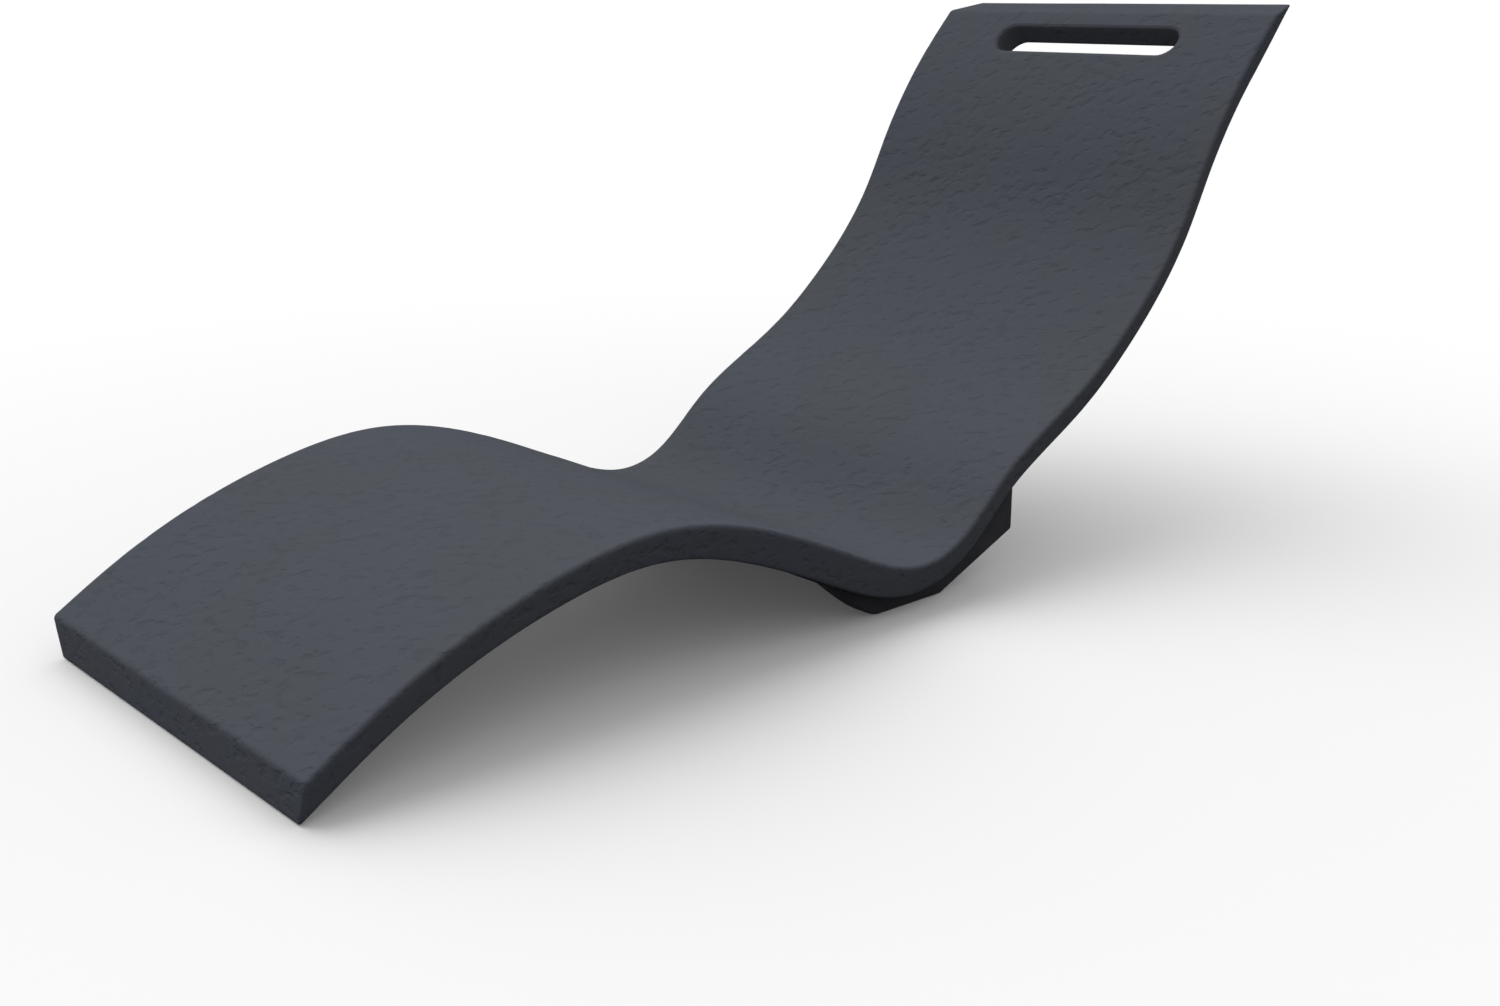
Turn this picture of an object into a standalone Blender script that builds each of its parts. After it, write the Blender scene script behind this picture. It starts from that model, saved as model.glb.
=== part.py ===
"""Sun lounger: a moulded wave-shaped deck bolted onto a base block filled with ballast.

The deck is a plastic shell filled with foam. Its foot end stands on the ground, and its seat
rests in the curved top of the base, a second shell. Four bolts come up through the base into
brass inserts in the deck. A screw plug in the rear wall of the base closes the ballast hole.

X runs across the lounger, Y from the foot end to the head end, and Z up from the ground.
While the pieces are made, Y starts at the foot face. The last lines centre the lounger on Y.
"""
import math

import bmesh
import bpy
import numpy as np
from mathutils import Matrix, Vector

# Deck line: the sitting surface from the side, as places along Y and heights over the ground
FOOT_FACE_HEIGHT = 0.0543
KNEE_Y = 0.480
KNEE_HEIGHT = 0.2191
SEAT_Y = 0.922
SEAT_HEIGHT = 0.0774
LUMBAR_Y = 1.201
LUMBAR_HEIGHT = 0.2453
SHOULDER_Y = 1.463
SHOULDER_HEIGHT = 0.4880
HEAD_Y = 1.6665
HEAD_HEIGHT = 0.7765

# Where the line passes between two of those places, as shares of the step from one to the next
CALF_SHARES = ((0.19, 0.34), (0.65, 0.87))
THIGH_SHARES = ((0.40, 0.31), (0.71, 0.744))
HIP_SHARES = ((0.163, 0.0615), (0.542, 0.5445))
BACK_SHARES = ((0.25, 0.164), (0.48, 0.36))
HEAD_SHARES = ((0.18, 0.24), (0.644, 0.728))

# Deck section
DECK_WIDTH = 0.650
SIDE_DRAFT = math.radians(26)
LEG_THICKNESS = 0.0455
SEAT_THICKNESS = 0.0485
SHOULDER_THICKNESS = 0.0460
HEAD_THICKNESS = 0.0460
HEAD_TAPER_LENGTH = 0.170
HEAD_FACE_RUN = 0.0691
HEAD_FACE_RISE = 0.0141
SIDE_EDGE_RADIUS = 0.0090
FOOT_EDGE_SETBACK = 0.0060
HEAD_EDGE_SETBACK = 0.0100
BACK_EDGE_SETBACK = 0.0070
CORNER_EDGE_SETBACK = 0.0070
LOWER_EDGE_SETBACK = 0.0035
INNER_EDGE_SETBACK = 0.0030
SHELL_WALL = 0.0050

# Hand slot through the head end
SLOT_LENGTH = 0.356
SLOT_WIDTH = 0.0533
SLOT_TO_HEAD = 0.0577
SLOT_RIM_SETBACK = 0.0045

# Port in the underside through which the foam goes in, with its cap
PORT_RADIUS = 0.008
PORT_COLLAR_WALL = 0.003
PORT_COLLAR_DEPTH = 0.009
PORT_TO_HEAD = 0.420
PORT_CAP_RADIUS = 0.0125
PORT_CAP_THICKNESS = 0.0025
PORT_CAP_EDGE = 0.0010
PORT_SHANK_LENGTH = 0.0075

# Base block, as reaches from the lowest place of the seat
BASE_WIDTH = 0.542
NOSE_REACH = 0.142
SOLE_FRONT_REACH = 0.0452
SOLE_REAR_REACH = 0.0785
REAR_REACH = 0.2293
HEEL_HEIGHT = 0.0652
NOSE_EDGE = 0.0030
BELLY_SHARE = 0.752
CHEEK_WIDTH = 0.025
FRONT_WALL_REACH = 0.0215
FRONT_WALL_EDGE = 0.0040
BASE_EDGE_SETBACK = 0.0055
BASE_WALL = 0.0050

# Bolts in one row along the lowest line of the seat
BOLT_COUNT = 4
BOLT_SPACING = 0.124
BOLT_RADIUS = 0.004
BOLT_HOLE_CLEARANCE = 0.0005
BOLT_HEAD_RADIUS = 0.0065
BOLT_HEAD_HEIGHT = 0.008
BOLT_HEAD_EDGE = 0.0008
BOLT_ENGAGEMENT = 0.015
BOLT_POINT = 0.0010
SOCKET_RADIUS = 0.0035
SOCKET_DEPTH = 0.004
COUNTERBORE_RADIUS = 0.014
COUNTERBORE_DEPTH = 0.0115
WASHER_RADIUS = 0.012
WASHER_THICKNESS = 0.002
TUBE_WALL = 0.004
INSERT_RADIUS = 0.007
INSERT_LENGTH = 0.020
INSERT_RECESS = 0.001
INSERT_GROOVE_WIDTH = 0.006
INSERT_GROOVE_DEPTH = 0.0010
BOSS_WALL = 0.004

# Rubber pads in the sole and rubber glides in the foot edge
PAD_LENGTH = 0.060
PAD_WIDTH = 0.050
PAD_CORNER_RADIUS = 0.010
PAD_THICKNESS = 0.0030
PAD_PROTRUSION = 0.0015
PAD_EDGE = 0.0006
PAD_TO_SIDE = 0.010
PAD_SETBACK = 0.0205
GLIDE_LENGTH = 0.090
GLIDE_DEPTH = 0.0044
GLIDE_HEIGHT = 0.0058
GLIDE_FRONT = 0.0023
GLIDE_EDGE = 0.0006
GLIDE_TO_SIDE = 0.045

# Screw plug, its seal and its neck in the rear wall of the base
PLUG_SHANK_RADIUS = 0.013
PLUG_SHANK_LENGTH = 0.013
PLUG_FLANGE_RADIUS = 0.020
PLUG_FLANGE_THICKNESS = 0.005
PLUG_FLANGE_EDGE = 0.0012
PLUG_SHANK_EDGE = 0.0010
PLUG_GRIP_LENGTH = 0.030
PLUG_GRIP_WIDTH = 0.006
PLUG_GRIP_HEIGHT = 0.007
PLUG_GRIP_EDGE = 0.0015
SEAL_INNER_CLEARANCE = 0.0005
SEAL_WIDTH = 0.005
SEAL_THICKNESS = 0.002
SEAL_EDGE = 0.0005
NECK_WALL = 0.004
NECK_LENGTH = 0.014

# Clearances and steps of the model
GAP = 0.0003
OVERRUN = 0.010
MERGE = 0.00001
FACET_TURN = math.radians(7)
FACET_LENGTH = 0.090
FINE_STEPS = 600
BELLY_STEPS = 8
ROUND_STEPS = 24
SMALL_ROUND_STEPS = 16
CORNER_STEPS = 4
SLOT_END_STEPS = 7
EDGE_SEGMENTS = 3
RIM_SEGMENTS = 3
HALF_STEP = math.pi / ROUND_STEPS
SMOOTH_ANGLE = math.radians(35)
RIM_ANGLE = math.radians(64)


# Materials

def material(name, colour, roughness, metallic=0.0):
    made = bpy.data.materials.new(name)
    made.use_nodes = True
    shader = made.node_tree.nodes["Principled BSDF"]
    shader.inputs["Base Color"].default_value = (*colour, 1.0)
    shader.inputs["Roughness"].default_value = roughness
    shader.inputs["Metallic"].default_value = metallic
    return made


# Curves and outlines, as points (y, z)

def spline_through(knots):
    """Return the length of the smooth curve through the knots, and a function for its points."""
    knots = np.array(knots)
    runs = np.hypot(*np.diff(knots, axis=0).T)
    starts = np.concatenate([[0.0], np.cumsum(runs)])
    system = np.eye(len(knots))
    turns = np.zeros_like(knots)
    for i in range(1, len(knots) - 1):
        before, after = runs[i - 1], runs[i]
        system[i, i - 1:i + 2] = before, 2 * (before + after), after
        turns[i] = 6 * ((knots[i + 1] - knots[i]) / after - (knots[i] - knots[i - 1]) / before)
    bends = np.linalg.solve(system, turns)

    def point(distance):
        i = min(max(int(np.searchsorted(starts, distance)) - 1, 0), len(runs) - 1)
        a = (starts[i + 1] - distance) / runs[i]
        b = 1 - a
        chord = a * knots[i] + b * knots[i + 1]
        return chord + ((a ** 3 - a) * bends[i] + (b ** 3 - b) * bends[i + 1]) * runs[i] ** 2 / 6

    return starts[-1], point


def deck_knots():
    """The named places of the deck line, with the shares between them filled in."""
    places = (
        (0.0, FOOT_FACE_HEIGHT),
        (KNEE_Y, KNEE_HEIGHT),
        (SEAT_Y, SEAT_HEIGHT),
        (LUMBAR_Y, LUMBAR_HEIGHT),
        (SHOULDER_Y, SHOULDER_HEIGHT),
        (HEAD_Y, HEAD_HEIGHT),
    )
    stretches = (CALF_SHARES, THIGH_SHARES, HIP_SHARES, BACK_SHARES, HEAD_SHARES)
    knots = [places[0]]
    for start, end, shares in zip(places, places[1:], stretches):
        for share_y, share_z in shares:
            y = start[0] + share_y * (end[0] - start[0])
            z = start[1] + share_z * (end[1] - start[1])
            knots.append((y, z))
        knots.append(end)
    return knots


def facet_distances(length, point):
    """Split the curve so that each facet turns by little and none is long."""
    fine = np.linspace(0.0, length, FINE_STEPS + 1)
    steps = np.diff([point(distance) for distance in fine], axis=0)
    headings = np.unwrap(np.arctan2(steps[:, 1], steps[:, 0]))
    turns = np.abs(np.diff(headings, prepend=headings[0]))
    effort = np.cumsum(turns / FACET_TURN + np.hypot(*steps.T) / FACET_LENGTH)
    effort = np.concatenate([[0.0], effort])
    count = math.ceil(effort[-1])
    return np.interp(np.linspace(0.0, effort[-1], count + 1), effort, fine)


def offset_line(points, amount, closed=False):
    """Move a line to its right by an amount, as (y, z) points with mitred corners."""
    points = np.asarray(points)
    ends = np.roll(points, -1, axis=0) if closed else points[1:]
    steps = ends - points[:len(ends)]
    steps /= np.hypot(*steps.T)[:, None]
    rights = np.stack([steps[:, 1], -steps[:, 0]], axis=1)
    before = np.roll(rights, 1, axis=0) if closed else np.concatenate([rights[:1], rights])
    after = rights if closed else np.concatenate([rights, rights[-1:]])
    share = 1 + np.sum(before * after, axis=1)
    return points + amount * (before + after) / share[:, None]


class DeckLine:
    """The side view of the deck: matching points on its top and on its underside."""

    def __init__(self):
        length, point = spline_through(deck_knots())
        distances = facet_distances(length, point)
        fine = np.linspace(0.0, length, FINE_STEPS + 1)
        seat_distance = min(fine, key=lambda distance: abs(point(distance)[0] - SEAT_Y))
        thicknesses = np.interp(
            distances,
            (0.0, seat_distance, length - HEAD_TAPER_LENGTH, length),
            (LEG_THICKNESS, SEAT_THICKNESS, SHOULDER_THICKNESS, HEAD_THICKNESS))
        self.length = length
        self.point = point
        self.top = np.array([point(distance) for distance in distances])
        mitres = offset_line(self.top, 1.0) - self.top
        self.under = self.top + thicknesses[:, None] * mitres
        self.under[0] = (0.0, 0.0)
        self.under[-1] = self.top[-1] + (HEAD_FACE_RUN, HEAD_FACE_RISE)

    def inset(self, amount):
        """The same points moved into the deck by an amount, or out of it where it is negative."""
        outline = np.concatenate([self.top, self.under[::-1]])
        moved = offset_line(outline, amount, closed=True)
        count = len(self.top)
        return moved[:count], moved[count:][::-1]

    def half_width(self, i, place, wall):
        """Half the deck's width at a place in section i, inside side walls of a thickness.

        The sides lean in by the draft below the sitting surface, so that every side face is flat.
        """
        near = max(i, 1)
        along = self.top[near] - self.top[near - 1]
        along /= np.hypot(*along)
        down = place - self.top[i]
        depth = down[0] * along[1] - down[1] * along[0]
        corner = DECK_WIDTH / 2 + side_edge_setback() - SIDE_EDGE_RADIUS
        return corner - math.tan(SIDE_DRAFT) * depth - wall / math.cos(SIDE_DRAFT)

    def heading_at(self, distance):
        nudge = self.length / FINE_STEPS
        ahead = self.point(distance + nudge) - self.point(distance - nudge)
        return math.atan2(ahead[1], ahead[0])

    def under_height(self, y):
        """Height of the underside at a place along the lounger, one gap below the deck."""
        _, under = self.inset(-GAP)
        return float(np.interp(y, under[:, 0], under[:, 1]))


# Meshes and objects

def add_object(name, mesh, look=None):
    made = bpy.data.objects.new(name, mesh)
    bpy.context.scene.collection.objects.link(made)
    made.parent = LOUNGER
    if look:
        mesh.materials.clear()
        mesh.materials.append(look)
    return made


def mesh_from(bm, name):
    bmesh.ops.recalc_face_normals(bm, faces=bm.faces)
    mesh = bpy.data.meshes.new(name)
    bm.to_mesh(mesh)
    bm.free()
    mesh.shade_smooth()
    mesh.set_sharp_from_angle(angle=SMOOTH_ANGLE)
    return mesh


def hide_cutter(cutter):
    cutter.hide_render = True
    cutter.display_type = "WIRE"


def cut(target, cutter):
    """Take the cutter's shape out of the target."""
    hide_cutter(cutter)
    boolean = target.modifiers.new("cut " + cutter.name, "BOOLEAN")
    boolean.operation = "DIFFERENCE"
    boolean.solver = "EXACT"
    boolean.object = cutter


def round_edges(target, setback, segments, limit="WEIGHT"):
    bevel = target.modifiers.new("round edges", "BEVEL")
    bevel.width = setback
    bevel.segments = segments
    bevel.limit_method = limit
    bevel.angle_limit = RIM_ANGLE
    bevel.use_clamp_overlap = False
    bevel.miter_outer = "MITER_SHARP"


def finished_mesh(draft, name):
    """Read a draft object with its modifiers, as a plain mesh that copies can share."""
    evaluated = draft.evaluated_get(bpy.context.evaluated_depsgraph_get())
    mesh = bpy.data.meshes.new_from_object(evaluated)
    mesh.name = name
    bpy.data.objects.remove(draft)
    return mesh


def turned(name, outline, steps, closed=False, start=0.0):
    """Turn an outline of (radius, height) points about Z. A closed outline makes a ring."""
    bm = bmesh.new()
    across = Vector((math.cos(start), math.sin(start), 0.0))
    up = Vector((0.0, 0.0, 1.0))
    verts = [bm.verts.new(radius * across + height * up) for radius, height in outline]
    pairs = list(zip(verts, verts[1:]))
    if closed:
        pairs.append((verts[-1], verts[0]))
    edges = [bm.edges.new(pair) for pair in pairs]
    bmesh.ops.spin(bm, geom=verts + edges, cent=(0, 0, 0), axis=(0, 0, 1),
                   angle=2 * math.pi, steps=steps, use_merge=True)
    bmesh.ops.remove_doubles(bm, verts=bm.verts, dist=MERGE)
    return mesh_from(bm, name)


def rounded_outline(length, width, radius, steps):
    """A rectangle along X with round corners. The radius is at most half the width."""
    radius = min(radius, width / 2, length / 2)
    points = []
    for quarter in range(4):
        angle = quarter * math.pi / 2
        side_x = 1 if quarter in (0, 3) else -1
        side_y = 1 if quarter in (0, 1) else -1
        centre_x = side_x * (length / 2 - radius)
        centre_y = side_y * (width / 2 - radius)
        for step in range(steps + 1):
            turn = angle + step * math.pi / 2 / steps
            points.append((centre_x + radius * math.cos(turn), centre_y + radius * math.sin(turn)))
    return points


def box_outline(low, high):
    return ((low[0], low[1]), (high[0], low[1]), (high[0], high[1]), (low[0], high[1]))


def prism(name, outline, low, high):
    """A straight prism over an outline of (x, y) points, between two heights."""
    bm = bmesh.new()
    bm.faces.new([bm.verts.new((x, y, low)) for x, y in outline])
    bmesh.ops.remove_doubles(bm, verts=bm.verts, dist=MERGE)
    raised = bmesh.ops.extrude_face_region(bm, geom=[face for face in bm.faces])
    for item in raised["geom"]:
        if isinstance(item, bmesh.types.BMVert):
            item.co.z = high
    return mesh_from(bm, name)


def cylinder(name, radius, low, high, start=0.0):
    outline = []
    for step in range(ROUND_STEPS):
        turn = start + step * 2 * math.pi / ROUND_STEPS
        outline.append((radius * math.cos(turn), radius * math.sin(turn)))
    return prism(name, outline, low, high)


def softened_pad(name, length, width, radius, low, high, edge):
    """A flat pad with round corners, whose lower rim is chamfered by an edge."""
    bm = bmesh.new()
    layers = (
        (rounded_outline(length - 2 * edge, width - 2 * edge, radius - edge, CORNER_STEPS), low),
        (rounded_outline(length, width, radius, CORNER_STEPS), low + edge),
        (rounded_outline(length, width, radius, CORNER_STEPS), high),
    )
    rings = [[bm.verts.new((x, y, z)) for x, y in outline] for outline, z in layers]
    for ring, upper in zip(rings, rings[1:]):
        for i in range(len(ring)):
            after = (i + 1) % len(ring)
            bm.faces.new((ring[i], ring[after], upper[after], upper[i]))
    bm.faces.new(rings[0])
    bm.faces.new(rings[-1])
    return mesh_from(bm, name)


# Deck

def side_edge_setback():
    """How far the rounding of the upper side edges reaches from the sharp corner it replaces."""
    return SIDE_EDGE_RADIUS / math.tan((math.pi / 2 - SIDE_DRAFT) / 2)


def outer_setbacks():
    return {
        "sides": side_edge_setback(),
        "foot": FOOT_EDGE_SETBACK,
        "head": HEAD_EDGE_SETBACK,
        "back": BACK_EDGE_SETBACK,
        "corners": CORNER_EDGE_SETBACK,
        "lower": LOWER_EDGE_SETBACK,
    }


def deck_loft(line, inset, setbacks):
    """Loft the deck's section along its line, all faces moved inwards by the inset.

    Each edge's setback is stored as a bevel weight, which is a share of the widest setback.
    """
    widest = max(setbacks.values())
    weights = {edge: setback / widest for edge, setback in setbacks.items()}
    tops, unders = line.inset(inset)
    bm = bmesh.new()
    weight = bm.edges.layers.float.new("bevel_weight_edge")
    rings = []
    for i in range(len(tops)):
        ring = []
        for place, signs in ((tops[i], (-1, 1)), (unders[i], (1, -1))):
            half = line.half_width(i, place, inset)
            ring += [bm.verts.new((sign * half, *place)) for sign in signs]
        rings.append(ring)
    for ring, following in zip(rings, rings[1:]):
        for i in range(4):
            after = (i + 1) % 4
            bm.faces.new((ring[i], ring[after], following[after], following[i]))
            edge = bm.edges.get((ring[i], following[i]))
            edge[weight] = weights["sides"] if i < 2 else weights["lower"]
    for ring, upper, lower in ((rings[0], "foot", "lower"), (rings[-1], "head", "back")):
        bm.faces.new(ring)
        bm.edges.get((ring[0], ring[1]))[weight] = weights[upper]
        bm.edges.get((ring[2], ring[3]))[weight] = weights[lower]
        bm.edges.get((ring[1], ring[2]))[weight] = weights["corners"]
        bm.edges.get((ring[3], ring[0]))[weight] = weights["corners"]
    return mesh_from(bm, "deck loft")


def add_deck_loft(line, name, inset, setbacks, segments, look=None):
    loft = add_object(name, deck_loft(line, inset, setbacks), look)
    round_edges(loft, max(setbacks.values()), segments)
    return loft


def slot_frame(line):
    """Place of the hand slot: its centre on the sitting surface, Z square to that surface."""
    distance = line.length - SLOT_TO_HEAD
    y, z = line.point(distance)
    return Matrix.Translation((0, y, z)) @ Matrix.Rotation(line.heading_at(distance), 4, "X")


def slot_cutter(line, name, grow):
    depth = SEAT_THICKNESS + 2 * OVERRUN
    outline = rounded_outline(SLOT_LENGTH + 2 * grow, SLOT_WIDTH + 2 * grow,
                              SLOT_WIDTH / 2 + grow, SLOT_END_STEPS)
    cutter = add_object(name, prism(name, outline, -depth, OVERRUN))
    cutter.matrix_basis = slot_frame(line)
    return cutter


def port_frame(line):
    """Place of the foam port: the middle of a facet of the underside, Z out of the deck."""
    target = line.point(line.length - PORT_TO_HEAD)[1]
    middles = (line.under[1:] + line.under[:-1]) / 2
    nearest = min(range(1, len(middles) - 1),
                  key=lambda i: abs(middles[i][1] - target) + abs(min(middles[i][0] - SEAT_Y, 0.0)))
    along = line.under[nearest + 1] - line.under[nearest]
    heading = math.atan2(along[1], along[0])
    place = Matrix.Translation((0, *middles[nearest]))
    return place @ Matrix.Rotation(heading + math.pi, 4, "X")


def insert_foot(line):
    """Height of the lower end of a threaded insert."""
    return line.under_height(SEAT_Y) + GAP + INSERT_RECESS


def bolt_places():
    first = -BOLT_SPACING * (BOLT_COUNT - 1) / 2
    return [(first + step * BOLT_SPACING, SEAT_Y) for step in range(BOLT_COUNT)]


def keep_out_of_foam(line, target, name, grow):
    """Cut the slot's lining, the insert bosses and the port collar out of the foam space."""
    cut(target, slot_cutter(line, name + " slot", SHELL_WALL + grow))
    boss_radius = INSERT_RADIUS + GAP + BOSS_WALL + grow
    boss_top = insert_foot(line) + INSERT_LENGTH + GAP + BOSS_WALL + grow
    for i, (x, y) in enumerate(bolt_places()):
        boss_name = f"{name} boss {i + 1}"
        boss = add_object(boss_name, cylinder(boss_name, boss_radius, -OVERRUN, boss_top))
        boss.location = (x, y, 0)
        cut(target, boss)
    collar_radius = PORT_RADIUS + GAP + PORT_COLLAR_WALL + grow
    collar_name = name + " collar"
    collar = add_object(collar_name, cylinder(collar_name, collar_radius,
                                              -PORT_COLLAR_DEPTH - grow, OVERRUN))
    collar.matrix_basis = port_frame(line)
    cut(target, collar)


def build_deck_shell(line):
    look = material("slate_shell", (0.078, 0.084, 0.095), 0.62)
    shell = add_deck_loft(line, "deck_shell", 0.0, outer_setbacks(), EDGE_SEGMENTS, look)
    cut(shell, slot_cutter(line, "hand slot", 0.0))
    round_edges(shell, SLOT_RIM_SETBACK, RIM_SEGMENTS, "ANGLE")

    inner = dict.fromkeys(outer_setbacks(), INNER_EDGE_SETBACK)
    space = add_deck_loft(line, "foam space", SHELL_WALL, inner, 1)
    keep_out_of_foam(line, space, "lining", 0.0)
    cut(shell, space)

    bore_top = insert_foot(line) + INSERT_LENGTH + GAP
    for i, (x, y) in enumerate(bolt_places()):
        name = f"insert bore {i + 1}"
        bore = add_object(name, cylinder(name, INSERT_RADIUS + GAP, -OVERRUN, bore_top, HALF_STEP))
        bore.location = (x, y, 0)
        cut(shell, bore)
    port = add_object("port bore", cylinder("port bore", PORT_RADIUS + GAP,
                                            -PORT_COLLAR_DEPTH - OVERRUN, OVERRUN, HALF_STEP))
    port.matrix_basis = port_frame(line)
    cut(shell, port)

    for side in (-1, 1):
        name = f"glide groove {side}"
        reach = GLIDE_LENGTH / 2 + GAP
        groove = add_object(name, prism(name, box_outline(
            (-reach, GLIDE_FRONT - GAP), (reach, GLIDE_FRONT + GLIDE_DEPTH + GAP)),
            -OVERRUN, GLIDE_HEIGHT + GAP))
        groove.location = (side * glide_x(), 0, 0)
        cut(shell, groove)
    return shell


def build_foam_core(line):
    look = material("foam", (0.75, 0.70, 0.52), 0.9)
    inner = dict.fromkeys(outer_setbacks(), INNER_EDGE_SETBACK)
    core = add_deck_loft(line, "deck_foam_core", SHELL_WALL + GAP, inner, 1, look)
    keep_out_of_foam(line, core, "foam", GAP)
    return core


def build_port_plug(line):
    look = material("cap_plastic", (0.02, 0.02, 0.022), 0.5)
    outline = (
        (0.0, -PORT_SHANK_LENGTH),
        (PORT_RADIUS - PORT_CAP_EDGE, -PORT_SHANK_LENGTH),
        (PORT_RADIUS, -PORT_SHANK_LENGTH + PORT_CAP_EDGE),
        (PORT_RADIUS, GAP),
        (PORT_CAP_RADIUS, GAP),
        (PORT_CAP_RADIUS, GAP + PORT_CAP_THICKNESS - PORT_CAP_EDGE),
        (PORT_CAP_RADIUS - PORT_CAP_EDGE, GAP + PORT_CAP_THICKNESS),
        (0.0, GAP + PORT_CAP_THICKNESS),
    )
    plug = add_object("foam_port_plug", turned("foam_port_plug", outline, ROUND_STEPS), look)
    plug.matrix_basis = port_frame(line)
    return plug


# Base block

def base_lower_line(line):
    """Underside of the base from the nose to the heel: belly, sole and chamfer."""
    nose_y = SEAT_Y - NOSE_REACH
    nose_z = line.under_height(nose_y) - NOSE_EDGE
    sole_front = SEAT_Y - SOLE_FRONT_REACH
    nose = Vector((nose_y, nose_z))
    pull = Vector((nose_y + BELLY_SHARE * (sole_front - nose_y), PAD_PROTRUSION))
    landing = Vector((sole_front, PAD_PROTRUSION))
    points = []
    for step in range(BELLY_STEPS + 1):
        t = step / BELLY_STEPS
        points.append(tuple((1 - t) ** 2 * nose + 2 * t * (1 - t) * pull + t ** 2 * landing))
    points.append((SEAT_Y + SOLE_REAR_REACH, PAD_PROTRUSION))
    points.append((SEAT_Y + REAR_REACH, HEEL_HEIGHT))
    return np.array(points)


def base_outline(line, inset):
    """Side view of the base, moved inwards by the inset, as a lower and an upper row."""
    lower = offset_line(base_lower_line(line), -inset)
    _, upper = line.inset(-GAP)
    upper = offset_line(upper, inset)
    rear = SEAT_Y + REAR_REACH - inset
    fronts = np.linspace(SEAT_Y - NOSE_REACH, SEAT_Y, FINE_STEPS + 1)
    room = np.interp(fronts, *upper.T) - np.interp(fronts, *lower.T)
    front = fronts[np.argmax(room >= NOSE_EDGE - MERGE)]
    rows = []
    for row in (lower, upper):
        inside = [y for y in row[:, 0] if front + NOSE_EDGE < y < rear - NOSE_EDGE]
        rows.append([(y, float(np.interp(y, *row.T))) for y in (front, *inside, rear)])
    return rows


def front_notch(name, inset):
    """Cutter that opens the front of the base between its two cheeks, up to the front wall."""
    wall = SEAT_Y - FRONT_WALL_REACH + inset
    sole = PAD_PROTRUSION + inset
    outline = (
        (SEAT_Y - NOSE_REACH - OVERRUN, -OVERRUN),
        (wall + FRONT_WALL_EDGE + sole + OVERRUN, -OVERRUN),
        (wall, sole + FRONT_WALL_EDGE),
        (wall, SEAT_HEIGHT),
        (SEAT_Y - NOSE_REACH - OVERRUN, SEAT_HEIGHT + OVERRUN),
    )
    half = BASE_WIDTH / 2 - CHEEK_WIDTH + inset
    notch = add_object(name, prism(name, outline, -half, half))
    notch.matrix_basis = Matrix(((0, 0, 1, 0), (1, 0, 0, 0), (0, 1, 0, 0), (0, 0, 0, 1)))
    return notch


def base_block(line, name, inset, setback, segments):
    """The base's side view, extruded across the lounger, with bevel weights on its free edges.

    The belly in front of the bolts is left on the two cheeks only.
    """
    lower, upper = base_outline(line, inset)
    half = BASE_WIDTH / 2 - inset
    bm = bmesh.new()
    weight = bm.edges.layers.float.new("bevel_weight_edge")
    sides = [[bm.verts.new((x, *point)) for point in lower + upper[::-1]] for x in (-half, half)]
    count = len(sides[0])
    for i in range(count):
        after = (i + 1) % count
        bm.faces.new((sides[0][i], sides[0][after], sides[1][after], sides[1][i]))
    for side in sides:
        bm.faces.new(side)
        for i in range(len(lower)):
            bm.edges.get((side[i], side[i + 1]))[weight] = 1.0
    for i in (len(lower) - 2, len(lower) - 1):
        bm.edges.get((sides[0][i], sides[1][i]))[weight] = 1.0
    block = add_object(name, mesh_from(bm, name))
    round_edges(block, setback, segments)
    cut(block, front_notch(name + " notch", inset))
    return block


def neck_height(line):
    """Height of the ballast hole: halfway up the rear wall of the base."""
    return (HEEL_HEIGHT + line.under_height(SEAT_Y + REAR_REACH)) / 2


def rear_frame(line):
    """Place of the ballast hole on the rear wall, Z out of the base towards the head end."""
    place = Matrix.Translation((0, SEAT_Y + REAR_REACH, neck_height(line)))
    return place @ Matrix.Rotation(-math.pi / 2, 4, "X")


def keep_out_of_ballast(line, target, name, grow):
    """Cut the bolt tubes with their counterbore cups and the neck out of the ballast space."""
    height = SEAT_HEIGHT
    cup_top = PAD_PROTRUSION + COUNTERBORE_DEPTH + TUBE_WALL + grow
    tube_radius = BOLT_RADIUS + BOLT_HOLE_CLEARANCE + TUBE_WALL + grow
    cup_radius = COUNTERBORE_RADIUS + TUBE_WALL + grow
    outline = (
        (0.0, -OVERRUN),
        (cup_radius, -OVERRUN),
        (cup_radius, cup_top),
        (tube_radius, cup_top),
        (tube_radius, height),
        (0.0, height),
    )
    for i, (x, y) in enumerate(bolt_places()):
        tube_name = f"{name} tube {i + 1}"
        tube = add_object(tube_name, turned(tube_name, outline, ROUND_STEPS))
        tube.location = (x, y, 0)
        cut(target, tube)
    neck_name = name + " neck"
    neck_radius = PLUG_SHANK_RADIUS + GAP + NECK_WALL + grow
    neck = add_object(neck_name, cylinder(neck_name, neck_radius, -NECK_LENGTH - grow, OVERRUN))
    neck.matrix_basis = rear_frame(line)
    cut(target, neck)


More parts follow.
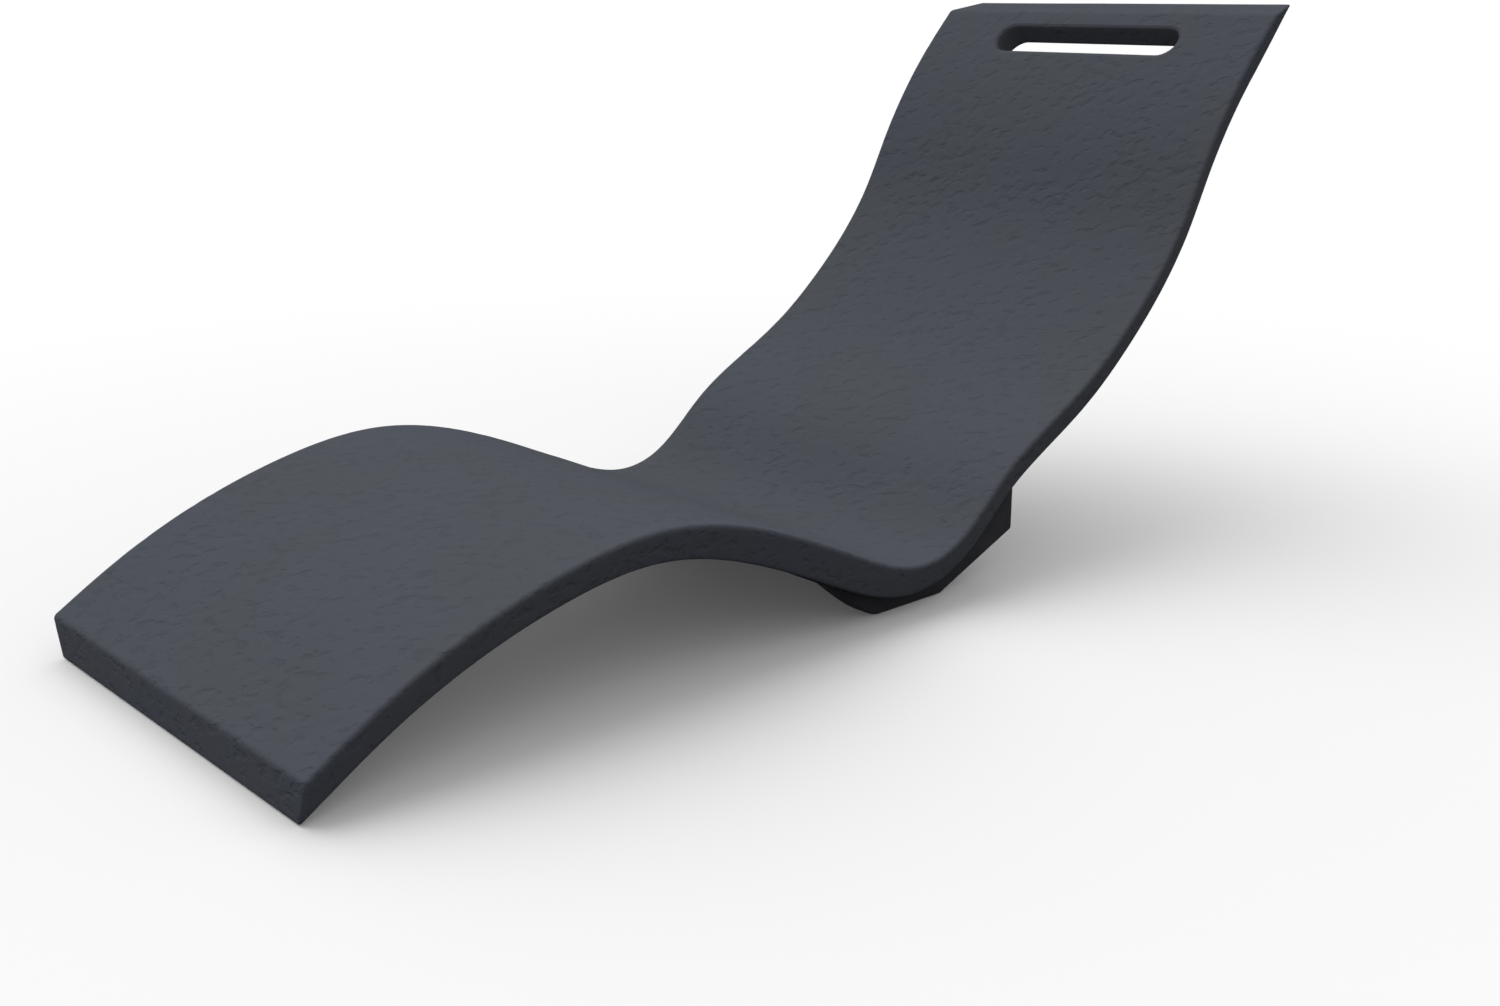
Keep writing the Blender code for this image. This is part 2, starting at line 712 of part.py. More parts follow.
def build_base_shell(line):
    look = material("base_plastic", (0.030, 0.031, 0.034), 0.55)
    shell = base_block(line, "base_shell", 0.0, BASE_EDGE_SETBACK, RIM_SEGMENTS)
    shell.data.materials.append(look)
    space = base_block(line, "ballast space", BASE_WALL, INNER_EDGE_SETBACK, 1)
    keep_out_of_ballast(line, space, "wall", 0.0)
    cut(shell, space)

    seat_z = PAD_PROTRUSION + COUNTERBORE_DEPTH
    hole_radius = BOLT_RADIUS + BOLT_HOLE_CLEARANCE
    outline = (
        (0.0, -OVERRUN),
        (COUNTERBORE_RADIUS, -OVERRUN),
        (COUNTERBORE_RADIUS, seat_z),
        (hole_radius, seat_z),
        (hole_radius, SEAT_HEIGHT),
        (0.0, SEAT_HEIGHT),
    )
    for i, (x, y) in enumerate(bolt_places()):
        name = f"bolt hole {i + 1}"
        hole = add_object(name, turned(name, outline, ROUND_STEPS, start=HALF_STEP))
        hole.location = (x, y, 0)
        cut(shell, hole)
    neck = add_object("neck bore", cylinder("neck bore", PLUG_SHANK_RADIUS + GAP,
                                            -NECK_LENGTH - OVERRUN, OVERRUN, HALF_STEP))
    neck.matrix_basis = rear_frame(line)
    cut(shell, neck)

    pocket_outline = rounded_outline(PAD_WIDTH + 2 * GAP, PAD_LENGTH + 2 * GAP,
                                     PAD_CORNER_RADIUS + GAP, CORNER_STEPS)
    for i, (x, y) in enumerate(pad_places()):
        name = f"pad pocket {i + 1}"
        pocket = add_object(name, prism(name, pocket_outline, -OVERRUN, PAD_THICKNESS + GAP))
        pocket.location = (x, y, 0)
        cut(shell, pocket)
    return shell


def build_ballast(line):
    look = material("sand", (0.45, 0.38, 0.28), 0.95)
    ballast = base_block(line, "base_ballast", BASE_WALL + GAP, INNER_EDGE_SETBACK, 1)
    ballast.data.materials.append(look)
    keep_out_of_ballast(line, ballast, "ballast", GAP)
    return ballast


# Fixings

def build_inserts(line):
    """Brass sleeves with a groove round their waist, which keeps them in their bosses."""
    look = material("brass", (0.70, 0.50, 0.20), 0.35, 1.0)
    bore = BOLT_RADIUS + GAP
    waist = INSERT_RADIUS - INSERT_GROOVE_DEPTH
    groove_low = (INSERT_LENGTH - INSERT_GROOVE_WIDTH) / 2
    groove_high = groove_low + INSERT_GROOVE_WIDTH
    outline = (
        (bore, 0.0),
        (INSERT_RADIUS, 0.0),
        (INSERT_RADIUS, groove_low),
        (waist, groove_low),
        (waist, groove_high),
        (INSERT_RADIUS, groove_high),
        (INSERT_RADIUS, INSERT_LENGTH),
        (bore, INSERT_LENGTH),
    )
    mesh = turned("deck_insert", outline, SMALL_ROUND_STEPS, closed=True)
    for i, (x, y) in enumerate(bolt_places()):
        insert = add_object(f"deck_insert_{i + 1}", mesh, look)
        insert.location = (x, y, insert_foot(line))


def build_bolts(line):
    look = material("stainless", (0.55, 0.56, 0.58), 0.3, 1.0)
    washer_top = PAD_PROTRUSION + COUNTERBORE_DEPTH - GAP
    washer_foot = washer_top - WASHER_THICKNESS
    head_top = washer_foot - GAP
    shank_length = insert_foot(line) + BOLT_ENGAGEMENT - head_top
    outline = (
        (0.0, -BOLT_HEAD_HEIGHT),
        (BOLT_HEAD_RADIUS - BOLT_HEAD_EDGE, -BOLT_HEAD_HEIGHT),
        (BOLT_HEAD_RADIUS, -BOLT_HEAD_HEIGHT + BOLT_HEAD_EDGE),
        (BOLT_HEAD_RADIUS, 0.0),
        (BOLT_RADIUS, 0.0),
        (BOLT_RADIUS, shank_length - BOLT_POINT),
        (BOLT_RADIUS - BOLT_POINT, shank_length),
        (0.0, shank_length),
    )
    draft = add_object("bolt draft", turned("bolt draft", outline, SMALL_ROUND_STEPS), look)
    hexagon = [(SOCKET_RADIUS * math.cos(side * math.pi / 3),
                SOCKET_RADIUS * math.sin(side * math.pi / 3)) for side in range(6)]
    socket = add_object("hex socket", prism("hex socket", hexagon, -BOLT_HEAD_HEIGHT - OVERRUN,
                                            SOCKET_DEPTH - BOLT_HEAD_HEIGHT))
    cut(draft, socket)
    bolt_mesh = finished_mesh(draft, "base_bolt")
    hole = BOLT_RADIUS + GAP
    washer_outline = (
        (hole, 0.0),
        (WASHER_RADIUS, 0.0),
        (WASHER_RADIUS, WASHER_THICKNESS),
        (hole, WASHER_THICKNESS),
    )
    washer_mesh = turned("base_washer", washer_outline, SMALL_ROUND_STEPS, closed=True)
    for i, (x, y) in enumerate(bolt_places()):
        bolt = add_object(f"base_bolt_{i + 1}", bolt_mesh, look)
        bolt.location = (x, y, head_top)
        washer = add_object(f"base_washer_{i + 1}", washer_mesh, look)
        washer.location = (x, y, washer_foot)


# Rubber parts

def pad_places():
    """The outer pads lie near the sides, and the inner ones between two bolts."""
    outer = BASE_WIDTH / 2 - PAD_TO_SIDE - PAD_WIDTH / 2
    y = SEAT_Y + SOLE_REAR_REACH - PAD_SETBACK - PAD_LENGTH / 2
    return [(x, y) for x in (-outer, -BOLT_SPACING, BOLT_SPACING, outer)]


def glide_x():
    corner = DECK_WIDTH / 2 + side_edge_setback() - SIDE_EDGE_RADIUS
    lower_edge = corner - math.tan(SIDE_DRAFT) * LEG_THICKNESS
    return lower_edge - GLIDE_TO_SIDE - GLIDE_LENGTH / 2


def build_rubber():
    look = material("rubber", (0.012, 0.012, 0.013), 0.8)
    pad_mesh = softened_pad("base_pad", PAD_WIDTH, PAD_LENGTH, PAD_CORNER_RADIUS,
                            0.0, PAD_THICKNESS, PAD_EDGE)
    for i, (x, y) in enumerate(pad_places()):
        pad = add_object(f"base_pad_{i + 1}", pad_mesh, look)
        pad.location = (x, y, 0)
    glide_mesh = softened_pad("foot_glide", GLIDE_LENGTH, GLIDE_DEPTH, 2 * GLIDE_EDGE,
                              0.0, GLIDE_HEIGHT, GLIDE_EDGE)
    for side, word in ((-1, "left"), (1, "right")):
        glide = add_object(f"foot_glide_{word}", glide_mesh, look)
        glide.location = (side * glide_x(), GLIDE_FRONT + GLIDE_DEPTH / 2, 0)


# Screw plug

def build_plug(line):
    """The plug and its seal, with their origins on the axis of the ballast hole."""
    frame = rear_frame(line)
    rubber = material("seal_rubber", (0.012, 0.012, 0.013), 0.75)
    inner = PLUG_SHANK_RADIUS + SEAL_INNER_CLEARANCE
    outer = inner + SEAL_WIDTH
    ring = (
        (inner, GAP + SEAL_EDGE),
        (inner + SEAL_EDGE, GAP),
        (outer - SEAL_EDGE, GAP),
        (outer, GAP + SEAL_EDGE),
        (outer, GAP + SEAL_THICKNESS - SEAL_EDGE),
        (outer - SEAL_EDGE, GAP + SEAL_THICKNESS),
        (inner + SEAL_EDGE, GAP + SEAL_THICKNESS),
        (inner, GAP + SEAL_THICKNESS - SEAL_EDGE),
    )
    seal = add_object("pour_plug_seal", turned("pour_plug_seal", ring, ROUND_STEPS, closed=True),
                      rubber)
    seal.matrix_basis = frame

    look = material("plug_plastic", (0.02, 0.02, 0.022), 0.45)
    flange_foot = 2 * GAP + SEAL_THICKNESS
    flange_top = flange_foot + PLUG_FLANGE_THICKNESS
    shank_end = flange_foot - PLUG_SHANK_LENGTH
    outline = (
        (0.0, shank_end),
        (PLUG_SHANK_RADIUS - PLUG_SHANK_EDGE, shank_end),
        (PLUG_SHANK_RADIUS, shank_end + PLUG_SHANK_EDGE),
        (PLUG_SHANK_RADIUS, flange_foot),
        (PLUG_FLANGE_RADIUS, flange_foot),
        (PLUG_FLANGE_RADIUS, flange_top - PLUG_FLANGE_EDGE),
        (PLUG_FLANGE_RADIUS - PLUG_FLANGE_EDGE, flange_top),
        (0.0, flange_top),
    )
    plug = add_object("pour_plug", turned("pour_plug", outline, ROUND_STEPS), look)
    plug.matrix_basis = frame
    grip_mesh = softened_pad("plug grip", PLUG_GRIP_LENGTH, PLUG_GRIP_WIDTH, PLUG_GRIP_WIDTH / 2,
                             0.0, PLUG_GRIP_HEIGHT + PLUG_GRIP_EDGE, PLUG_GRIP_EDGE)
    grip = add_object("plug grip", grip_mesh)
    grip.matrix_basis = frame @ Matrix.Translation((0, 0, flange_top + PLUG_GRIP_HEIGHT)) \
        @ Matrix.Rotation(math.pi, 4, "X")
    hide_cutter(grip)
    union = plug.modifiers.new("grip", "BOOLEAN")
    union.operation = "UNION"
    union.solver = "EXACT"
    union.object = grip


# Assembly

def centre_lounger(shell):
    """Move the parent so that the lounger's middle is over the origin."""
    evaluated = shell.evaluated_get(bpy.context.evaluated_depsgraph_get())
    reach = [corner[1] for corner in evaluated.bound_box]
    LOUNGER.location.y = -(min(reach) + max(reach)) / 2


for leftover in list(bpy.data.objects):
    bpy.data.objects.remove(leftover)

LOUNGER = bpy.data.objects.new("lounger", None)
bpy.context.scene.collection.objects.link(LOUNGER)

deck_line = DeckLine()
deck_shell = build_deck_shell(deck_line)
build_foam_core(deck_line)
build_port_plug(deck_line)
build_base_shell(deck_line)
build_ballast(deck_line)
build_inserts(deck_line)
build_bolts(deck_line)
build_rubber()
build_plug(deck_line)
centre_lounger(deck_shell)
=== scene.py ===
# %% [markdown]
# # A moulded sun lounger
# The real lounger is one long plastic slab, bent into a wave and textured like slate, on a dark base
# block. The solids and joints of the part are already fixed. This lesson gives them their looks: it
# replaces the plain solids that show with finer pieces in the same place, and gives every piece a
# material made of nodes, so that nothing depends on a picture file.

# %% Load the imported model
import math

import bpy
import numpy as np
from mathutils import Matrix, Vector, noise


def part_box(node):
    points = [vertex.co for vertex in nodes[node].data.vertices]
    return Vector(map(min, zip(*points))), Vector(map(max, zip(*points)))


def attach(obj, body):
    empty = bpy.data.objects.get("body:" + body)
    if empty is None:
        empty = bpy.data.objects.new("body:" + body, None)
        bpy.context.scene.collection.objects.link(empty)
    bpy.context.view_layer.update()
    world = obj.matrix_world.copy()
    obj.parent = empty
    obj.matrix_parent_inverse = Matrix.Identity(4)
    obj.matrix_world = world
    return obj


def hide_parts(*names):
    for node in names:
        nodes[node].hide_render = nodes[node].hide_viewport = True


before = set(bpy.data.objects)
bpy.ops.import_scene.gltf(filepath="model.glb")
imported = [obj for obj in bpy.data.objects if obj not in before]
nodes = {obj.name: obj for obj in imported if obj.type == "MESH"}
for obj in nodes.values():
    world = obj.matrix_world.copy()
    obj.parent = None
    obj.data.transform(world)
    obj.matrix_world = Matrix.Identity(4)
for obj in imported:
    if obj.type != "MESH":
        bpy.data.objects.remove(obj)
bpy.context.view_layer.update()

scene = bpy.context.scene

# %% [markdown]
# ## The camera
# The photograph was taken from the foot end, a little to the right and above knee height. The camera
# comes first, because every later choice is judged through it. A lens of about 41 mm on a 36 mm wide
# sensor gives the same narrowing of the deck towards its head end.

# %% Camera
CAMERA_PLACE = (1.76070, -1.57306, 0.80539)
CAMERA_AZIMUTH = math.radians(47.732)
CAMERA_DIP = math.radians(16.6448)
CAMERA_LENS = 40.89
CAMERA_SENSOR = 36.0

camera_turn = (math.pi / 2 - CAMERA_DIP, 0, CAMERA_AZIMUTH)
bpy.ops.object.camera_add(location=CAMERA_PLACE, rotation=camera_turn)
camera = bpy.context.object
camera.data.lens = CAMERA_LENS
camera.data.sensor_width = CAMERA_SENSOR
camera.data.clip_end = 100
scene.camera = camera
print("camera at", tuple(round(v, 3) for v in camera.location))

# %% [markdown]
# ## Small helpers
# Operators work on whatever is selected, so each step selects its own piece alone. A finished piece
# keeps its place in its mesh, with its object at the origin, and is then told which body it rides on
# and which solid it stands for.

# %% Helpers for objects
def make_active(item):
    for other in bpy.context.selected_objects:
        other.select_set(False)
    item.select_set(True)
    bpy.context.view_layer.objects.active = item


def start_editing(item):
    """Edit mode on one piece, with all of it selected."""
    make_active(item)
    bpy.ops.object.mode_set(mode="EDIT")
    bpy.ops.mesh.select_all(action="SELECT")


def stop_editing(fill_rings=False):
    """Fill open rings if asked, turn all faces outwards and go back to object mode."""
    if fill_rings:
        bpy.ops.mesh.select_all(action="DESELECT")
        bpy.ops.mesh.select_mode(type="EDGE")
        bpy.ops.mesh.select_non_manifold()
        bpy.ops.mesh.edge_face_add()
    bpy.ops.mesh.select_all(action="SELECT")
    bpy.ops.mesh.normals_make_consistent(inside=False)
    bpy.ops.object.mode_set(mode="OBJECT")


def modify(item, kind, **settings):
    """Add a modifier, set it up and apply it."""
    make_active(item)
    bpy.ops.object.modifier_add(type=kind)
    modifier = item.modifiers[-1]
    for key, value in settings.items():
        setattr(modifier, key, value)
    bpy.ops.object.modifier_apply(modifier=modifier.name)


def apply_place(item):
    make_active(item)
    bpy.ops.object.transform_apply(location=True, rotation=True, scale=True)


def corners_of(node_name):
    """The lowest and the highest corner of a solid's box."""
    return (Vector(corner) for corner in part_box(node_name))


def finish_piece(item, name, body, slot, *stands_for):
    item.name = name
    item.data.name = name
    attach(item, body)
    if stands_for:
        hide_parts(*stands_for)
    triangles = sum(len(face.vertices) - 2 for face in item.data.polygons)
    print(name, "has", triangles, "triangles")
    return item


# %% [markdown]
# ## The side line of the deck
# The deck is a flat slab that was bent. So the finer deck is modelled flat and then bent with a Curve
# modifier, along the line of the CAD deck's sitting surface. That line can be read from the CAD
# solid: its flat top ends in a row of corners at one known distance from the middle, and the
# corners, sorted from foot to head, are points of the line.

# %% Read the line from the CAD deck
DECK_WIDTH = 0.650
CAD_EDGE_RADIUS = 0.0090
FLAT_HALF = DECK_WIDTH / 2 - CAD_EDGE_RADIUS
FOOT_EDGE_SETBACK = 0.0060
HEAD_EDGE_SETBACK = 0.0100
SAME_PLACE = 0.0002


def top_line():
    """The places (y, z) where the flat top of the CAD deck meets its rounded right side edge."""
    places = []
    for vert in nodes["deck_shell"].data.vertices:
        x, y, z = vert.co
        if abs(x - FLAT_HALF) > SAME_PLACE / 4:
            continue
        if all(abs(y - other[0]) + abs(z - other[1]) > SAME_PLACE for other in places):
            places.append((y, z))
    return np.array(sorted(places))


line = top_line()
print("line points", len(line), "from", line[0].round(4), "to", line[-1].round(4))


# %% [markdown]
# The line becomes a Bezier curve with automatic handles. They make it pass smoothly through the
# corners of the CAD deck, which is only a row of flat facets. Its length is that of the flat slab.

# %% The bending curve
CURVE_TILT = math.radians(90)


def add_bending_curve(places):
    bpy.ops.curve.primitive_bezier_curve_add(location=(0, 0, 0))
    curve = bpy.context.object
    curve.name = "bending_line"
    curve.data.dimensions = "3D"
    curve.data.twist_mode = "Z_UP"
    spline = curve.data.splines[0]
    spline.bezier_points.add(len(places) - len(spline.bezier_points))
    for point, (y, z) in zip(spline.bezier_points, places):
        point.handle_left_type = point.handle_right_type = "AUTO"
        point.co = (0, y, z)
        point.tilt = CURVE_TILT
    return curve, spline.calc_length()


bending_line, line_length = add_bending_curve(line)
print("line length", round(line_length, 4), "m")

# %% [markdown]
# ## The section of the deck
# Cut across, the deck is a wide trapezium: its sides lean in below the sitting surface, as a moulded
# piece needs to leave its mould. All four edges are rounded, the upper ones a little more tightly. The
# same outline, drawn a little further in, also serves for the rounded ends of the slab, so the helper
# takes an inset.

# %% Section outline
SIDE_EDGE_RADIUS = 0.0045
SIDE_DRAFT = math.radians(22.8)
LOWER_EDGE_RADIUS = 0.0065
SMALLEST_RADIUS = 0.0004
TOP_STEPS = 75
SIDE_EDGE_STEPS = 5
BAND_STEPS = 8
LOWER_EDGE_STEPS = 3
UNDER_STEPS = 5
UNDER_MARGIN = 0.004
USUAL_THICKNESS = 0.045


def arc(centre, radius, start, end, steps):
    """Points on a part of a circle, without its first one."""
    turns = np.linspace(math.radians(start), math.radians(end), steps + 1)[1:]
    return [(centre[0] + radius * math.cos(t), centre[1] + radius * math.sin(t)) for t in turns]


def straight(start, end, steps):
    return [tuple(p) for p in np.linspace(start, end, steps + 1)[1:]]


def section(thickness, inset=0.0, side_draft=SIDE_DRAFT):
    """The closed outline across the deck as (x, z), from the middle of the underside round to it."""
    draft = math.degrees(side_draft)
    lean = math.tan(side_draft)
    half_corner = math.tan(math.radians(90 - draft) / 2)
    upper = max(SIDE_EDGE_RADIUS - inset, SMALLEST_RADIUS)
    lower = max(LOWER_EDGE_RADIUS - inset, SMALLEST_RADIUS)
    upper_setback = upper / half_corner
    lower_setback = lower * half_corner
    corner = DECK_WIDTH / 2 + SIDE_EDGE_RADIUS / half_corner - SIDE_EDGE_RADIUS
    sharp = corner - inset / math.cos(side_draft)
    top, bottom = -inset, inset - thickness
    flat_end = sharp - lean * inset - upper_setback
    under_end = sharp - lean * (thickness - inset) - lower_setback
    half = [(0.0, top)]
    half += straight(half[-1], (flat_end, top), TOP_STEPS)
    half += arc((flat_end, top - upper), upper, 90, -draft, SIDE_EDGE_STEPS)
    edge_middle = (under_end, bottom + lower)
    half += straight(half[-1], arc(edge_middle, lower, 0, -draft, 1)[0], BAND_STEPS)
    half += arc(edge_middle, lower, -draft, -90, LOWER_EDGE_STEPS)
    half += straight(half[-1], (under_end - UNDER_MARGIN, bottom), 1)
    half += straight(half[-1], (0.0, bottom), UNDER_STEPS)
    left = [(-x, z) for x, z in reversed(half)]
    return np.array(left + half[1:])


columns = len(section(USUAL_THICKNESS))
print("points in a section", columns)

# %% [markdown]
# ## Thickness and slanted ends
# The slab is about 46 mm thick, a little more under the seat, and thins in its last 95 mm at the head.
# Its end faces are not square to it: the foot face is upright when the lounger stands, and the head
# face is almost level. On the flat slab both are therefore slanted, by moving points along the slab,
# more the deeper they lie. Towards the head the sides lean in a little more.

# %% Thickness and ends along the slab
FOOT_THICKNESS = 0.0459
SEAT_THICKNESS = 0.0485
SHOULDER_THICKNESS = 0.0461
TAPER_THICKNESS = 0.0445
HEAD_THICKNESS = 0.0403
TAPER_LENGTH = 0.095
TAPER_MIDDLE = 0.068
HEAD_FACE = (0.0691, 0.0141)
HEAD_DRAFT = math.radians(28)
HEAD_DRAFT_REACH = 0.100
SLANT_REACH = 0.160
LEGS_END = -0.3

steps = np.hypot(*np.diff(line, axis=0).T)
along_line = np.concatenate([[0.0], np.cumsum(steps)]) * line_length / steps.sum()
behind_legs = line[:, 0] >= LEGS_END
seat_place = along_line[np.argmin(np.where(behind_legs, line[:, 1], 1.0))]
slab_start = -FOOT_EDGE_SETBACK
slab_end = line_length + HEAD_EDGE_SETBACK


def fade(distance, reach):
    """1 at no distance and 0 from the reach on, with a soft start and end."""
    share = min(max(1 - distance / reach, 0.0), 1.0)
    return share * share * (3 - 2 * share)


def thickness_at(place):
    places = (slab_start, seat_place, slab_end - TAPER_LENGTH, slab_end - TAPER_MIDDLE, slab_end)
    sizes = (FOOT_THICKNESS, SEAT_THICKNESS, SHOULDER_THICKNESS, TAPER_THICKNESS, HEAD_THICKNESS)
    return float(np.interp(place, places, sizes))


def outline_at(place, inset):
    """The section at a place, with the side draft that belongs there."""
    draft = SIDE_DRAFT + (HEAD_DRAFT - SIDE_DRAFT) * fade(slab_end - place, HEAD_DRAFT_REACH)
    return section(thickness_at(place), inset, draft)


foot_heading = math.atan2(*(line[1] - line[0])[::-1])
head_heading = math.atan2(*(line[-1] - line[-2])[::-1])
foot_slant = math.tan(foot_heading)
head_along = HEAD_FACE[0] * math.cos(head_heading) + HEAD_FACE[1] * math.sin(head_heading)
head_down = HEAD_FACE[0] * math.sin(head_heading) - HEAD_FACE[1] * math.cos(head_heading)
head_slant = -head_along / head_down
print("seat place", round(seat_place, 3), "slants", round(foot_slant, 3), round(head_slant, 3))


def slanted_place(place, z):
    """Move a point of the slab along it, so that the ends get their slant."""
    foot = foot_slant * z * fade(place - slab_start, SLANT_REACH)
    head = head_slant * z * fade(slab_end - place, SLANT_REACH)
    return place + foot + head


# %% [markdown]
# ## Wrapping a grid into the slab
# A grid has one column for each point of the section and one row for each place along the slab. Every
# row is laid round the section at its place, which turns the sheet into a tube. The first and last
# rows shrink inwards in a quarter turn, which rounds the end edges, and then close the end faces.

# %% Wrap the grid
ROW_SPACING = 0.0044
END_RADIUS = 0.0040
END_STEPS = 4
FACE_STEPS = 4
FACE_REST = 0.0014
WELD = 0.00002


def end_rows(thickness):
    """Pairs of (distance from the end, inset) from the middle of the end face outwards."""
    deepest = thickness / 2 - FACE_REST
    face = [(0.0, inset) for inset in np.linspace(deepest, END_RADIUS, FACE_STEPS + 1)[:-1]]
    turns = np.linspace(math.pi / 2, 0, END_STEPS + 1)
    edge = [(END_RADIUS * (1 - math.sin(t)), END_RADIUS * (1 - math.cos(t))) for t in turns]
    return face + edge


def slab_rows():
    foot = [(slab_start + out, inset) for out, inset in end_rows(thickness_at(slab_start))]
    head = [(slab_end - out, inset) for out, inset in end_rows(thickness_at(slab_end))][::-1]
    first, last = foot[-1][0], head[0][0]
    count = round((last - first) / ROW_SPACING)
    middle = [(place, 0.0) for place in np.linspace(first, last, count + 1)[1:-1]]
    return foot + middle + head


def wrap_slab():
    rows = slab_rows()
    bpy.ops.mesh.primitive_grid_add(x_subdivisions=columns - 1, y_subdivisions=len(rows) - 1, size=2)
    slab = bpy.context.object
    flat = np.array([vert.co[:2] for vert in slab.data.vertices])
    column = np.rint((flat[:, 0] + 1) / 2 * (columns - 1)).astype(int)
    row = np.rint((flat[:, 1] + 1) / 2 * (len(rows) - 1)).astype(int)
    outlines = [outline_at(place, inset) for place, inset in rows]
    for vert, i, j in zip(slab.data.vertices, column, row):
        x, z = outlines[j][i]
        vert.co = (x, slanted_place(rows[j][0], z), z)
    start_editing(slab)
    bpy.ops.mesh.remove_doubles(threshold=WELD)
    stop_editing(fill_rings=True)
    return slab


deck = wrap_slab()
print("slab faces", len(deck.data.polygons), "size", [round(v, 4) for v in deck.dimensions])


# %% [markdown]
# ## The hand slot
# The slot is cut out with a Boolean. Its cutter is a stadium-shaped plug that flares at both mouths
# like the bell of a trumpet, so that the cut leaves a rounded rim and needs no bevel afterwards.

# %% Cut the hand slot
SLOT_LENGTH = 0.356
SLOT_WIDTH = 0.0533
SLOT_REACH = (SLOT_LENGTH - SLOT_WIDTH) / 2
SLOT_TO_HEAD = 0.0577
SLOT_RIM_RADIUS = 0.0042
SLOT_FLARE_STEPS = 4
SLOT_WALL_STEPS = 5
SLOT_END_STEPS = 14
SLOT_SIDE_STEPS = 40
SLOT_OVERRUN = 0.006
FLARE_START = math.radians(8)


def slot_outline(grow):
    """A stadium round the slot's middle, grown outwards."""
    radius = SLOT_WIDTH / 2 + grow
    points = []
    for side, start in ((1, -90), (-1, 90)):
        reach = side * SLOT_REACH
        points += arc((reach, 0), radius, start, start + 180, SLOT_END_STEPS)
        points += straight((reach, side * radius), (-reach, side * radius), SLOT_SIDE_STEPS)
    return points


def slot_layers(thickness):
    """Pairs of (height, growth) from over the slab to under it."""
    radius = SLOT_RIM_RADIUS
    flare = []
    for turn in np.linspace(FLARE_START, math.pi / 2, SLOT_FLARE_STEPS + 1):
        flare.append((radius * math.cos(turn) - radius, radius - radius * math.sin(turn)))
    upper = [(SLOT_OVERRUN, flare[0][1])] + flare
    lower = [(-thickness - height, growth) for height, growth in reversed(upper)]
    wall = straight((-radius, 0.0), (radius - thickness, 0.0), SLOT_WALL_STEPS)[:-1]
    return upper + wall + lower


def add_ring(corners):
    """A closed ring of edges through the given corners."""
    bpy.ops.mesh.primitive_circle_add(vertices=len(corners), fill_type="NOTHING", location=(0, 0, 0))
    ring = bpy.context.object
    for vert, corner in zip(ring.data.vertices, corners):
        vert.co = corner
    return ring


def add_slot_cutter(place):
    rings = [[(x, place + y, height) for x, y in slot_outline(growth)]
             for height, growth in slot_layers(thickness_at(place))]
    cutter = add_ring(rings[0])
    start_editing(cutter)
    for corners in rings[1:]:
        bpy.ops.mesh.extrude_region_move()
        bpy.ops.object.mode_set(mode="OBJECT")
        extruded = [vert for vert in cutter.data.vertices if vert.select]
        for vert, corner in zip(extruded, corners):
            vert.co = corner
        bpy.ops.object.mode_set(mode="EDIT")
    stop_editing(fill_rings=True)
    return cutter


def cut_with(item, cutter):
    modify(item, "BOOLEAN", operation="DIFFERENCE", solver="EXACT", object=cutter)
    bpy.data.objects.remove(cutter)


slot_place = slab_end - SLOT_TO_HEAD
cut_with(deck, add_slot_cutter(slot_place))
print("faces with the slot", len(deck.data.polygons))

# %% [markdown]
# ## The slate relief
# Split slate breaks along its layers, so its face is made of low steps with ragged edges, lying mostly
# across the deck. A smooth noise is turned into such steps by flattening it between levels and making
# it steep at them. A second noise decides where steps show and where they die out, others add chips,
# small pits and a slow swell. The relief calms down near the rim of the slot and the edges of the slab,
# as the mould's does. Each point moves out along its normal while the slab is still flat.

# %% Raise the relief
STEP_HEIGHT = 0.0006
STEP_LEVELS = 4.0
STEP_SHARPNESS = 3.5
LAYER_SIZE = (0.060, 0.036, 0.040)
PATCH_SIZE = 0.095
CHIP_SIZE = (0.019, 0.013, 0.014)
CHIP_HEIGHT = 0.0006
PIT_SIZE = (0.019, 0.014, 0.015)
PIT_DEPTH = 0.0007
PIT_START = 0.18
PIT_RANGE = 0.22
SWELL_SIZE = 0.230
SWELL_HEIGHT = 0.0012
WANDER = 0.012
WANDER_SIZE = (0.035, 0.035, 0.035)
RAGGED_SHARE = 0.30
PATCH_MIDDLE = 0.50
PATCH_SWING = 1.5
PATCH_LEAST = 0.10
GRAIN_TILT = math.radians(20)
RIM_REACH = 0.012
RIM_ZONE = 0.1
EDGE_REACH = 0.030
EDGE_CALM = 0.75
UNDER_LIMIT = -0.55
UNDER_FADE = 0.4

SWELL_SEED, LAYER_SEED, RAGGED_SEED, PATCH_SEED = 1.0, 3.0, 5.0, 7.0
CHIP_SEED, WANDER_SEED, PIT_SEED = 9.0, 11.0, 13.0


def noise_at(place, size, seed):
    return noise.noise(Vector([place[i] / size[i] + seed for i in range(3)]))


